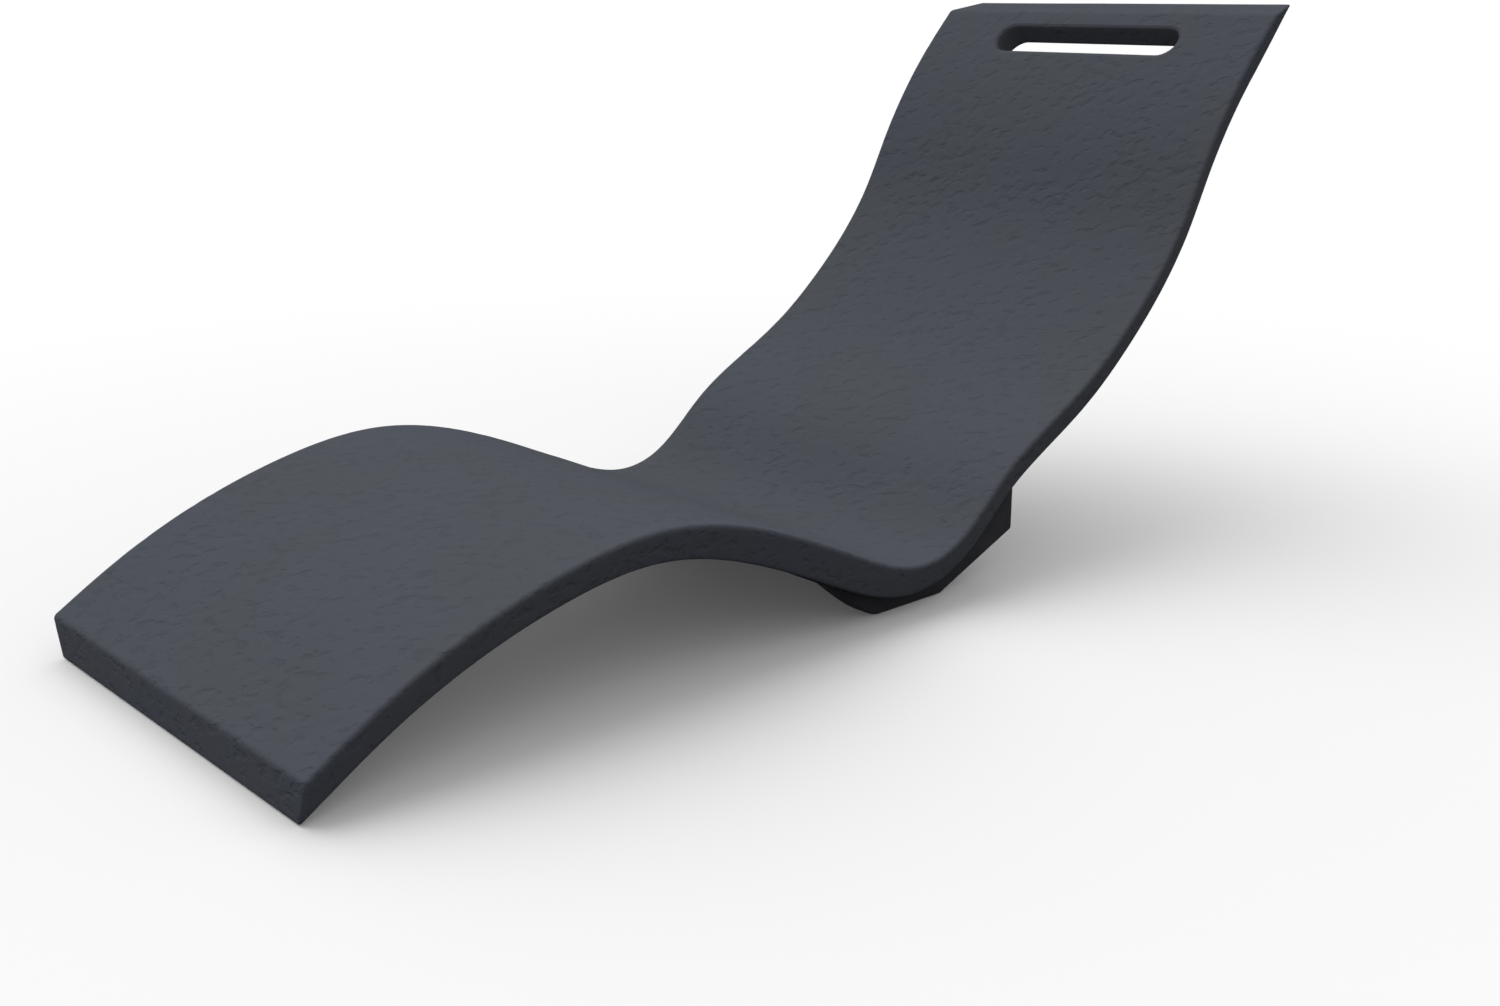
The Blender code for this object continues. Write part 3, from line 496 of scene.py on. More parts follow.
def slate_height(place):
    """Height of the slate relief at a place on the flat slab."""
    x = place[0] * math.cos(GRAIN_TILT) + place[1] * math.sin(GRAIN_TILT)
    y = place[1] * math.cos(GRAIN_TILT) - place[0] * math.sin(GRAIN_TILT)
    wander = WANDER * noise_at((x, y, place[2]), WANDER_SIZE, WANDER_SEED)
    spot = (x + wander, y + wander, place[2])
    ragged = RAGGED_SHARE * noise_at(spot, CHIP_SIZE, RAGGED_SEED)
    stair = (noise_at(spot, LAYER_SIZE, LAYER_SEED) + ragged) * STEP_LEVELS
    share = stair - math.floor(stair)
    stepped = math.floor(stair) + 1 / (1 + math.exp(-STEP_SHARPNESS * 2 * (share - 0.5)))
    patch = noise_at(spot, (PATCH_SIZE,) * 3, PATCH_SEED)
    strength = min(max(PATCH_MIDDLE + PATCH_SWING * patch, PATCH_LEAST), 1.0)
    swell = SWELL_HEIGHT * noise_at(spot, (SWELL_SIZE,) * 3, SWELL_SEED)
    chips = CHIP_HEIGHT * noise_at(spot, CHIP_SIZE, CHIP_SEED)
    pit = 1 - fade(noise_at(spot, PIT_SIZE, PIT_SEED) - PIT_START, PIT_RANGE)
    return swell + strength * (STEP_HEIGHT * (stepped - stair) + chips - PIT_DEPTH * pit)


def slot_distance(place):
    """Distance from the rim of the hand slot, along the sitting surface."""
    side = max(abs(place[0]) - SLOT_REACH, 0.0)
    return abs(math.hypot(side, place[1] - slot_place) - SLOT_WIDTH / 2 - SLOT_RIM_RADIUS)


def raise_relief(item):
    mesh = item.data
    flat = mesh.attributes.new("flat_place", "FLOAT_VECTOR", "POINT")
    places = [vert.co.copy() for vert in mesh.vertices]
    flat.data.foreach_set("vector", np.array(places, dtype=np.float32).ravel())
    normals = [vert.normal.copy() for vert in mesh.vertices]
    for vert, place, normal in zip(mesh.vertices, places, normals):
        if normal.z < UNDER_LIMIT:
            continue
        near_slot = 0.0
        if place.y > slot_place - RIM_ZONE:
            near_slot = fade(slot_distance(place), RIM_REACH)
        under = min(1.0, (normal.z - UNDER_LIMIT) / UNDER_FADE)
        to_edge = min(DECK_WIDTH / 2 - abs(place.x), place.y - slab_start, slab_end - place.y)
        calm = (1 - near_slot) * (1 - EDGE_CALM * fade(to_edge, EDGE_REACH))
        vert.co = place + normal * slate_height(place) * calm * under


raise_relief(deck)
print("relief raised on", len(deck.data.vertices), "points")

# %% [markdown]
# ## Bending the slab
# Now the Curve modifier lays the slab along the line, its long axis on the curve and its sitting
# surface on the curve's upper side. Applied, it leaves the bent deck in its final place.

# %% Bend the deck
modify(deck, "CURVE", object=bending_line, deform_axis="POS_Y")
bpy.data.objects.remove(bending_line)
bpy.ops.object.shade_smooth()
finish_piece(deck, "slate_deck", "lounger", "slate_shell", "deck_shell")


# %% [markdown]
# ## The base and the plain plates
# The base, washers, pads and glides are simple shapes whose solids are right already, but moulded and
# stamped pieces never have knife-sharp edges. So each is a copy of its solid: the loose triangles are
# merged, the flat faces joined, and a Bevel modifier rounds every sharp edge, which then catches a line
# of light. Building them anew from a cube would give the same shape with more work. In the photograph
# the flanks of the base stand a little further out than its solid's, so they are moved there, and the
# cheeks that carry the belly in front go with them.

# %% Round the edges of plain solids
FLAT_ANGLE = math.radians(1.0)
SHARP_ANGLE = math.radians(28)
SMOOTH_ANGLE = math.radians(40)
BASE_EDGE_RADIUS = 0.0018
WASHER_EDGE_RADIUS = 0.0004
FLANK_FROM = 0.262
CHEEK_FROM = 0.240
CHEEK_REAR = 0.050
FLANK_GROWTH = 0.008
FOUR = range(1, 5)


def clean_edges(item):
    start_editing(item)
    bpy.ops.mesh.remove_doubles(threshold=WELD)
    bpy.ops.mesh.dissolve_limited(angle_limit=FLAT_ANGLE)
    bpy.ops.object.mode_set(mode="OBJECT")


def smooth_shade(item, angle=SMOOTH_ANGLE):
    make_active(item)
    bpy.ops.object.shade_smooth_by_angle(angle=angle)


def round_edges(item, radius, segments=3):
    modify(item, "BEVEL", width=radius, segments=segments, limit_method="ANGLE",
           angle_limit=SHARP_ANGLE)
    smooth_shade(item)


def own_copy(item):
    """A copy with its own mesh, in the scene."""
    copied = bpy.data.objects.new(item.name + "_copy", item.data.copy())
    scene.collection.objects.link(copied)
    return copied


def copy_solid(node_name):
    item = own_copy(nodes[node_name])
    clean_edges(item)
    return item


def rounded_copy(node_name, piece_name, radius, slot):
    item = copy_solid(node_name)
    round_edges(item, radius)
    return finish_piece(item, piece_name, "lounger", slot, node_name)


def widen_base(item):
    """Move both flanks outwards, and with them the cheeks that carry the belly in front."""
    for vert in item.data.vertices:
        limit = CHEEK_FROM if vert.co.y < CHEEK_REAR else FLANK_FROM
        if abs(vert.co.x) > limit:
            vert.co.x += math.copysign(FLANK_GROWTH, vert.co.x)
    item.data.update()


base = rounded_copy("base_shell", "base_block", BASE_EDGE_RADIUS, "base_plastic")
widen_base(base)
washers = [rounded_copy(f"base_washer_{n}", f"pressed_washer_{n}", WASHER_EDGE_RADIUS, "stainless")
           for n in FOUR]
print("washers", len(washers))

# %% [markdown]
# ## Pads and glides
# The rubber pads under the base and the glides under the foot edge have cross grooves, so that they
# grip a wet floor. The grooves are cut with one row of thin bars, made from a cube and an Array
# modifier, which is quicker than one cut for each and keeps them evenly spaced.

# %% Pads and glides
GROOVE_WIDTH = 0.0022
GROOVE_DEPTH = 0.0009
PAD_GROOVES = 6
PAD_GROOVE_SPACING = 0.0090
GLIDE_GROOVES = 7
GLIDE_GROOVE_SPACING = 0.0120
RUBBER_EDGE_RADIUS = 0.00025


def add_groove_cutter(low, high, axis, count, spacing):
    """Bars along the given axis (0 or 1), spread over the underside between two corners."""
    middle = (low + high) / 2
    size = Vector((GROOVE_WIDTH, GROOVE_WIDTH, 2 * GROOVE_DEPTH))
    size[axis] = 2 * (high[axis] - low[axis])
    start = Vector((middle.x, middle.y, low.z))
    start[1 - axis] -= spacing * (count - 1) / 2
    bpy.ops.mesh.primitive_cube_add(size=1, location=start, scale=size)
    cutter = bpy.context.object
    apply_place(cutter)
    step = [0.0, 0.0, 0.0]
    step[1 - axis] = spacing
    modify(cutter, "ARRAY", count=count, use_relative_offset=False, use_constant_offset=True,
           constant_offset_displace=step)
    return cutter


def grooved_copy(node_name, piece_name, axis, count, spacing):
    item = copy_solid(node_name)
    cut_with(item, add_groove_cutter(*corners_of(node_name), axis, count, spacing))
    clean_edges(item)
    round_edges(item, RUBBER_EDGE_RADIUS, 2)
    return finish_piece(item, piece_name, "lounger", "rubber", node_name)


pads = [grooved_copy(f"base_pad_{n}", f"grip_pad_{n}", 0, PAD_GROOVES, PAD_GROOVE_SPACING)
        for n in FOUR]
glides = [grooved_copy(f"foot_glide_{side}", f"foot_strip_{side}", 1, GLIDE_GROOVES,
                       GLIDE_GROOVE_SPACING) for side in ("left", "right")]
print("rubber pieces", len(pads) + len(glides))

# %% [markdown]
# ## Turned pieces and threads
# Bolts, inserts, plug, seal and cap are round, so each starts as half of its outline, which is spun
# round its axis. A thread is a small closed profile wound up by the Screw modifier, and at both ends it
# sinks into its core, as a cut thread runs out. Its faces are turned outwards before that, because
# at the flattened ends Blender can't tell inside from outside.

# %% Helpers for turned pieces
ROUND_STEPS = 48
THREAD_FOOT_SHARE = 0.42
THREAD_CREST_SHARE = 0.08
THREAD_RUN_OUT = 2.5


def steps_from(radius, height, steps):
    """Outline points, given as steps inwards from a radius and upwards from a height."""
    return [(radius - inwards, height + upwards) for inwards, upwards in steps]


def turned(outline, steps=ROUND_STEPS):
    """Spin a closed outline of (radius, height). Its edge on the axis ends up loose and is deleted."""
    item = add_ring([(radius, 0, height) for radius, height in outline])
    start_editing(item)
    bpy.ops.mesh.spin(steps=steps, angle=2 * math.pi, center=(0, 0, 0), axis=(0, 0, 1))
    bpy.ops.mesh.select_all(action="SELECT")
    bpy.ops.mesh.remove_doubles(threshold=WELD / 4)
    bpy.ops.mesh.select_all(action="SELECT")
    bpy.ops.mesh.delete_loose()
    stop_editing()
    return item


def add_thread(core, crest, pitch, turns, foot, steps=ROUND_STEPS):
    """A right-hand thread round the upright axis, from the height foot upwards."""
    sunk = core - (crest - core)
    half_foot, half_crest = THREAD_FOOT_SHARE * pitch, THREAD_CREST_SHARE * pitch
    outline = [(sunk, -half_foot), (crest, -half_crest), (crest, half_crest), (sunk, half_foot)]
    corners = len(outline)
    thread = add_ring([(radius, 0, foot + height) for radius, height in outline])
    steps = round(steps * turns)
    modify(thread, "SCREW", angle=2 * math.pi * turns, screw_offset=pitch * turns, steps=steps,
           render_steps=steps, use_merge_vertices=False)
    start_editing(thread)
    bpy.ops.mesh.fill_holes(sides=2 * corners)
    stop_editing()
    rings = len(thread.data.vertices) // corners - 1
    for vert in thread.data.vertices:
        wound = (vert.index // corners) / rings * turns
        grown = min(1.0, THREAD_RUN_OUT * wound, THREAD_RUN_OUT * (turns - wound))
        radius = vert.co.xy.length
        vert.co.xy *= (sunk + (radius - sunk) * grown) / radius
    return thread


def join(item, *others):
    make_active(item)
    for other in others:
        other.select_set(True)
    bpy.ops.object.join()


def press_lines(item, radius, depth, low, high, steps=ROUND_STEPS, period=2, pressed=(1,)):
    """Press some upright lines of points inwards on a round side, for a knurl or ribs."""
    for vert in item.data.vertices:
        outside = vert.co.xy.length > radius - 2 * WELD
        number = round(math.atan2(vert.co.y, vert.co.x) / (2 * math.pi) * steps)
        if outside and low - WELD <= vert.co.z <= high + WELD and number % period in pressed:
            vert.co.xy *= 1 - depth / radius


def add_hex_cutter(across, low, high):
    bpy.ops.mesh.primitive_cylinder_add(vertices=6, radius=across, depth=high - low,
                                        location=(0, 0, (low + high) / 2))
    cutter = bpy.context.object
    apply_place(cutter)
    return cutter


def place_copies(draft, node_name, piece_name, slot, lift=0.0):
    """Four copies of a draft, each upright on the middle line of its own solid."""
    copies = []
    for n in FOUR:
        low, high = corners_of(f"{node_name}_{n}")
        middle = (low + high) / 2
        copied = own_copy(draft)
        copied.data.transform(Matrix.Translation((middle.x, middle.y, low.z + lift)))
        copies.append(finish_piece(copied, f"{piece_name}_{n}", "lounger", slot, f"{node_name}_{n}"))
    bpy.data.objects.remove(draft)
    return copies


# %% [markdown]
# ## Bolts and inserts
# Four socket head bolts come up through the sole into brass inserts under the seat. The head has a
# straight knurl, a small chamfer and a hexagon socket, the shank a thread of 1.25 mm pitch where it
# meets the insert. The insert is knurled in two bands with a groove between them, which locks it in
# the plastic.

# %% Bolts and inserts
BOLT_RADIUS = 0.0040
BOLT_HEAD_RADIUS = 0.0065
BOLT_HEAD_HEIGHT = 0.0080
BOLT_CHAMFER = 0.0006
HEAD_EDGE = 0.0004
NECK_FILLET = 0.0003
HEAD_KNURL_FOOT = 0.0014
HEAD_KNURL_TOP = 0.0012
HEAD_KNURL_DEPTH = 0.00018
BOLT_PITCH = 0.00125
BOLT_CORE = BOLT_RADIUS - 0.0007
BOLT_THREAD = 0.0180
BOLT_THREAD_STEPS = 24
SOCKET_ACROSS = 0.0035
SOCKET_DEPTH = 0.0042
SOCKET_OVERRUN = 0.001
INSERT_PLAY = 0.0003
INSERT_EDGE = 0.0005
INSERT_GROOVE_SHARE = 0.15
INSERT_GROOVE_DEPTH = 0.001
INSERT_KNURL_DEPTH = 0.00030
INSERT_SMOOTH_ANGLE = math.radians(20)


def make_bolt(length):
    """A bolt with its head's underside at height 0 and its point at the given length."""
    head, foot, plain = BOLT_HEAD_RADIUS, -BOLT_HEAD_HEIGHT, length - BOLT_THREAD
    knurl_low, knurl_high = foot + HEAD_KNURL_FOOT, -HEAD_KNURL_TOP
    outline = [(0, foot), (head - BOLT_CHAMFER, foot), (head, foot + BOLT_CHAMFER),
               (head, knurl_low), (head, knurl_high), (head, -HEAD_EDGE), (head - HEAD_EDGE, 0),
               (BOLT_RADIUS + NECK_FILLET, 0), (BOLT_RADIUS, NECK_FILLET), (BOLT_RADIUS, plain),
               (BOLT_CORE, plain + BOLT_CHAMFER), (BOLT_CORE, length - BOLT_CHAMFER),
               (BOLT_CORE - BOLT_CHAMFER, length), (0, length)]
    bolt = turned(outline)
    press_lines(bolt, head, HEAD_KNURL_DEPTH, knurl_low, knurl_high)
    cut_with(bolt, add_hex_cutter(SOCKET_ACROSS, foot - SOCKET_OVERRUN, foot + SOCKET_DEPTH))
    turns = (BOLT_THREAD - 2 * BOLT_CHAMFER) / BOLT_PITCH
    thread = add_thread(BOLT_CORE, BOLT_RADIUS, BOLT_PITCH, turns, plain + BOLT_CHAMFER,
                        BOLT_THREAD_STEPS)
    join(bolt, thread)
    smooth_shade(bolt)
    return bolt


def make_insert(height, radius):
    """An insert that stands on height 0. Half of its outline is drawn and then mirrored."""
    inner = BOLT_RADIUS + INSERT_PLAY
    groove_low = height / 2 - height * INSERT_GROOVE_SHARE
    half = [(inner, INSERT_EDGE), (inner + INSERT_EDGE, 0), (radius - INSERT_EDGE, 0),
            (radius, INSERT_EDGE), (radius, groove_low - INSERT_GROOVE_DEPTH),
            (radius - INSERT_GROOVE_DEPTH, groove_low)]
    insert = turned(half + [(reach, height - up) for reach, up in reversed(half)])
    press_lines(insert, radius, INSERT_KNURL_DEPTH, INSERT_EDGE, height - INSERT_EDGE)
    smooth_shade(insert, INSERT_SMOOTH_ANGLE)
    return insert


low, high = corners_of("base_bolt_1")
bolt_draft = make_bolt(high.z - low.z - BOLT_HEAD_HEIGHT)
bolts = place_copies(bolt_draft, "base_bolt", "socket_bolt", "stainless", BOLT_HEAD_HEIGHT)
low, high = corners_of("deck_insert_1")
insert_draft = make_insert(high.z - low.z, (high.x - low.x) / 2)
inserts = place_copies(insert_draft, "deck_insert", "knurled_insert", "brass")
print("bolts and inserts", len(bolts), len(inserts))

# %% [markdown]
# ## The ballast plug and its seal
# The plug screws into the rear wall of the base. Its rim is ribbed for a wet hand, a bar across the
# face takes the fingers, and the shank has a coarse right-hand thread of 4 mm pitch, the pitch at
# which its joint moves it out. The seal is a rubber ring with a lip on each face.

# %% Ballast plug and seal
PLUG_FLANGE_RADIUS = 0.0200
PLUG_FLANGE_THICKNESS = 0.0050
PLUG_SHANK_LENGTH = 0.0130
PLUG_CREST = 0.0130
PLUG_CORE = 0.0116
PLUG_PITCH = 0.0040
PLUG_THREAD_START = 0.0020
PLUG_THREAD_REST = 0.0045
PLUG_FILLET = 0.0010
PLUG_EDGE = 0.0004
PLUG_TIP = ((0.0030, 0.0030), (0.0026, 0), (0.0006, 0), (0, 0.0006))
PLUG_FACE = ((0.0004, -0.0005), (0.0012, 0), (0.0030, 0), (0.0034, -0.0006), (0.0046, -0.0006),
             (0.0050, 0))
RIB_DEPTH = 0.0009
RIB_FOOT = 0.0012
RIB_TOP = 0.0014
GRIP_SIZE = (0.0300, 0.0060, 0.0070)
GRIP_SUNK = 0.0010
GRIP_TAPER = (0.90, 0.82)
GRIP_EDGE = 0.0014
SEAL_WIDTH = 0.005
SEAL_STEPS = 24
SEAL_SQUARENESS = (0.7, 0.55)
SEAL_LIP = 0.30
SEAL_GROOVE = 0.82


def make_grip(foot):
    """A tapered bar with round edges that stands a little below the given height."""
    height = GRIP_SIZE[2] + GRIP_SUNK
    middle = foot - GRIP_SUNK + height / 2
    bpy.ops.mesh.primitive_cube_add(size=1, location=(0, 0, middle),
                                    scale=(GRIP_SIZE[0], GRIP_SIZE[1], height))
    grip = bpy.context.object
    apply_place(grip)
    for vert in grip.data.vertices:
        if vert.co.z > middle:
            vert.co.x *= GRIP_TAPER[0]
            vert.co.y *= GRIP_TAPER[1]
    round_edges(grip, GRIP_EDGE, 4)
    return grip


def make_plug():
    """The plug on the upright axis, with its flange's underside at height 0."""
    rim, top, foot = PLUG_FLANGE_RADIUS, PLUG_FLANGE_THICKNESS, -PLUG_SHANK_LENGTH
    outline = [(0, foot + PLUG_TIP[0][1])] + steps_from(PLUG_CORE, foot, PLUG_TIP)
    outline += [(PLUG_CORE, -PLUG_FILLET), (PLUG_CORE + PLUG_FILLET, 0)]
    outline += steps_from(rim, 0, ((PLUG_EDGE, 0), (0, PLUG_EDGE), (0, RIB_FOOT)))
    outline += [(rim, top - RIB_TOP)] + steps_from(rim, top, PLUG_FACE) + [(0, top)]
    plug = turned(outline, ROUND_STEPS * 2)
    press_lines(plug, rim, RIB_DEPTH, RIB_FOOT, top - RIB_TOP, ROUND_STEPS * 2, 4, (0, 1))
    grip = make_grip(top)
    turns = (PLUG_SHANK_LENGTH - PLUG_THREAD_REST) / PLUG_PITCH
    thread = add_thread(PLUG_CORE, PLUG_CREST, PLUG_PITCH, turns, foot + PLUG_THREAD_START)
    join(plug, grip, thread)
    smooth_shade(plug)
    return plug


def make_seal(outer, thickness):
    """A ring round the upright axis with round edges and a lip on each face."""
    half = SEAL_WIDTH / 2
    outline = []
    for turn in np.linspace(0, 2 * math.pi, SEAL_STEPS + 1)[:-1]:
        across, up = math.cos(turn), math.sin(turn)
        reach = math.copysign(abs(across) ** SEAL_SQUARENESS[0], across) * half
        height = math.copysign(abs(up) ** SEAL_SQUARENESS[1], up) * thickness / 2
        lowered = 1.0 if abs(across) < SEAL_LIP else SEAL_GROOVE
        outline.append((outer - half + reach, height * lowered))
    ring = turned(outline, ROUND_STEPS * 2)
    make_active(ring)
    bpy.ops.object.shade_smooth()
    return ring


def to_rear_wall(middle, place_on_axis):
    """Turn the upright axis to +Y and put it on the hole's middle."""
    turn = Matrix.Rotation(-math.pi / 2, 4, "X")
    return Matrix.Translation((middle.x, place_on_axis, middle.z)) @ turn


low, high = corners_of("pour_plug")
plug = make_plug()
plug.data.transform(to_rear_wall((low + high) / 2, low.y + PLUG_SHANK_LENGTH))
finish_piece(plug, "ballast_plug", "plug", "plug_plastic", "pour_plug")
low, high = corners_of("pour_plug_seal")
seal = make_seal((high.x - low.x) / 2, high.y - low.y)
seal.data.transform(to_rear_wall((low + high) / 2, (low.y + high.y) / 2))
finish_piece(seal, "plug_seal", "seal", "seal_rubber", "pour_plug_seal")

# %% [markdown]
# ## The cap of the foam port
# A low domed cap closes the hole on the back of the deck through which the foam went in. It is turned
# too, with a shallow ring near its rim and a barbed shank that snaps into the collar.

# %% Foam port cap
CAP_RADIUS = 0.0125
CAP_THICKNESS = 0.0025
CAP_SHANK_RADIUS = 0.0076
CAP_SHANK_LENGTH = 0.0075
CAP_LEAN = math.radians(57.05)
CAP_BARB = ((0.0010, 0), (0.0002, 0.0014), (0.0006, 0.0020))
CAP_NECK = ((0.0006, -0.0005), (0.0003, 0))
CAP_RIM = ((0.0003, 0), (0, 0.0003), (0.0001, 0.0009), (0.0008, 0.0016))
CAP_FACE = ((0.0024, -0.0005), (0.0028, -0.0008), (0.0034, -0.0008), (0.0038, -0.0003),
            (0.0070, -0.0001))


def make_cap():
    """The cap on the upright axis, with its flange's underside at height 0 and its face upwards."""
    foot = -CAP_SHANK_LENGTH
    outline = [(0, foot)] + steps_from(CAP_SHANK_RADIUS, foot, CAP_BARB)
    outline += steps_from(CAP_SHANK_RADIUS, 0, CAP_NECK) + steps_from(CAP_RADIUS, 0, CAP_RIM)
    outline += steps_from(CAP_RADIUS, CAP_THICKNESS, CAP_FACE) + [(0, CAP_THICKNESS)]
    cap = turned(outline)
    smooth_shade(cap)
    return cap


low, high = corners_of("foam_port_plug")
outwards = Vector((0, math.sin(CAP_LEAN), -math.cos(CAP_LEAN)))
flange_place = (low + high) / 2 - outwards * (CAP_THICKNESS - CAP_SHANK_LENGTH) / 2
cap = make_cap()
turn = Matrix.Rotation(CAP_LEAN - math.pi, 4, "X")
cap.data.transform(Matrix.Translation(flange_place) @ turn)
finish_piece(cap, "port_cap", "lounger", "cap_plastic", "foam_port_plug")
print("cap box", [round(v, 4) for v in cap.dimensions])

# %% [markdown]
# ## Materials
# Every finish is built from a few kinds of node: noise for what varies, a ramp to choose how much of
# it shows, a mix for colour, and a bump for what is too fine to model. These helpers add a node and
# join it in one line each.

# %% Helpers for materials
def new_material(name, roughness, metallic=0.0):
    material = bpy.data.materials.new(name)
    material.use_nodes = True
    shader = material.node_tree.nodes["Principled BSDF"]
    shader.inputs["Roughness"].default_value = roughness
    shader.inputs["Metallic"].default_value = metallic
    return material, material.node_tree, shader


def add_node(tree, kind, **values):
    node = tree.nodes.new(kind)
    for key, value in values.items():
        if key in node.inputs:
            node.inputs[key].default_value = value
        else:
            setattr(node, key, value)
    return node


def object_place(tree):
    return add_node(tree, "ShaderNodeTexCoord").outputs["Object"]


def stretched(tree, place, scale, turn=0.0):
    node = add_node(tree, "ShaderNodeMapping", Scale=scale, Rotation=(0, 0, turn))
    tree.links.new(place, node.inputs["Vector"])
    return node.outputs["Vector"]


def noise_node(tree, place, scale, detail=3.0, roughness=0.5):
    node = add_node(tree, "ShaderNodeTexNoise", Scale=scale, Detail=detail, Roughness=roughness)
    tree.links.new(place, node.inputs["Vector"])
    return node.outputs["Fac"]


def between(tree, value, low, high, new_low=0.0, new_high=1.0):
    numbers = {"From Min": low, "From Max": high, "To Min": new_low, "To Max": new_high}
    node = add_node(tree, "ShaderNodeMapRange", interpolation_type="SMOOTHSTEP", **numbers)
    tree.links.new(value, node.inputs["Value"])
    return node.outputs["Result"]


def mixed(tree, share, first, second):
    """Mix two colours, each a colour or the output of a node."""
    node = add_node(tree, "ShaderNodeMix", data_type="RGBA")
    tree.links.new(share, node.inputs[0])
    for socket, colour in ((node.inputs[6], first), (node.inputs[7], second)):
        if isinstance(colour, tuple):
            socket.default_value = (*colour, 1.0)
        else:
            tree.links.new(colour, socket)
    return node.outputs[2]


def combined(tree, operation, first, second=None):
    """A sum, product or the like of two outputs, or of an output and a number."""
    node = add_node(tree, "ShaderNodeMath", operation=operation)
    tree.links.new(first, node.inputs[0])
    if isinstance(second, float):
        node.inputs[1].default_value = second
    elif second is not None:
        tree.links.new(second, node.inputs[1])
    return node.outputs[0]


def bumped(tree, height, distance, strength=1.0, under=None):
    node = add_node(tree, "ShaderNodeBump", Strength=strength, Distance=distance)
    tree.links.new(height, node.inputs["Height"])
    if under is not None:
        tree.links.new(under, node.inputs["Normal"])
    return node.outputs["Normal"]


def use_on_shader(tree, shader, colour=None, roughness=None, normal=None):
    for key, output in (("Base Color", colour), ("Roughness", roughness), ("Normal", normal)):
        if output is not None:
            tree.links.new(output, shader.inputs[key])


def give(item, material):
    item.data.materials.clear()
    item.data.materials.append(material)


# %% [markdown]
# ## Slate plastic
# The plastic is charcoal, partly bluish and partly neutral in broad soft patches, and so dull that it
# has no sheen. Small pits crowd along wandering seams and in loose clusters; they are painted darker,
# which is painted shade in them, and finer specks are darker grains of the plastic. Chips, pits and
# the finest roughness of the mould are bumps. The patterns read the place on the flat slab, kept as an
# attribute, so they bend with the deck and lie at the same tilt as the relief. A painted picture
# could give this look too, but it would have to be a file.

# %% Slate plastic
SLATE_BLUE = (0.087, 0.095, 0.116)
SLATE_NEUTRAL = (0.088, 0.095, 0.108)
# A dark colour: painted shade in the pits, and the plastic's own darker specks.
SLATE_SPECK_AND_PIT_SHADE = (0.039, 0.042, 0.049)
LONG_STRETCH = (0.45, 1, 1)
SHORT_STRETCH = (0.65, 1, 1)
BLOTCH_SCALE = 4.5
CLUSTER_SCALE = 8
SEAM_SCALE = 14
SEAM_WIDTH = 0.10
CHIP_SCALE = 48
PIT_SCALE = 70
SPECK_SCALE = 150
GRAIN_SCALE = 900
SEAM_CROWDING = 0.08
CLUSTER_CROWDING = 0.05
PIT_SHADE_SHARE = 0.10
SPECK_SHARE = 0.25
CHIP_BUMP = 0.0013
PIT_BUMP = 0.0010
GRAIN_BUMP = 0.00010


def times(tree, first, second):
    return combined(tree, "MULTIPLY", first, second)


def slate_pits(tree, tilted, across):
    """Where the pits are, from 0 to 1, crowded along seams and in clusters."""
    seam_noise = noise_node(tree, stretched(tree, tilted, LONG_STRETCH), SEAM_SCALE, 3.0)
    seam_offset = combined(tree, "ABSOLUTE", combined(tree, "SUBTRACT", seam_noise, 0.5))
    seams = between(tree, seam_offset, SEAM_WIDTH, 0.0)
    clusters = between(tree, noise_node(tree, tilted, CLUSTER_SCALE, 2.0), 0.42, 0.62)
    crowding = combined(tree, "ADD", times(tree, seams, SEAM_CROWDING),
                        times(tree, clusters, CLUSTER_CROWDING))
    pit_noise = noise_node(tree, across, PIT_SCALE, 3.0, 0.45)
    return between(tree, combined(tree, "ADD", pit_noise, crowding), 0.57, 0.76)


def slate_material():
    material, tree, shader = new_material("slate_plastic", 0.62)
    place = add_node(tree, "ShaderNodeAttribute", attribute_name="flat_place").outputs["Vector"]
    tilted = stretched(tree, place, (1, 1, 1), -GRAIN_TILT)
    across = stretched(tree, tilted, SHORT_STRETCH)
    blotches = between(tree, noise_node(tree, place, BLOTCH_SCALE, 3.0), 0.38, 0.62)
    pits = slate_pits(tree, tilted, across)
    specks = between(tree, noise_node(tree, across, SPECK_SCALE, 5.0, 0.6), 0.62, 0.74)
    colour = mixed(tree, blotches, SLATE_NEUTRAL, SLATE_BLUE)
    # The pits are painted darker, as painted shade in them; the specks below are darker grains.
    colour = mixed(tree, times(tree, pits, PIT_SHADE_SHARE), colour, SLATE_SPECK_AND_PIT_SHADE)
    colour = mixed(tree, times(tree, specks, SPECK_SHARE), colour, SLATE_SPECK_AND_PIT_SHADE)
    roughness = between(tree, noise_node(tree, place, 60, 4.0), 0.3, 0.7, 0.70, 0.84)
    normal = bumped(tree, noise_node(tree, place, GRAIN_SCALE, 2.0), GRAIN_BUMP)
    normal = bumped(tree, noise_node(tree, across, CHIP_SCALE, 5.0, 0.5), CHIP_BUMP, 0.9, normal)
    normal = bumped(tree, times(tree, pits, -1.0), PIT_BUMP, 1.0, normal)
    use_on_shader(tree, shader, colour, roughness, normal)
    shader.inputs["Specular IOR Level"].default_value = 0.0
    return material


give(deck, slate_material())
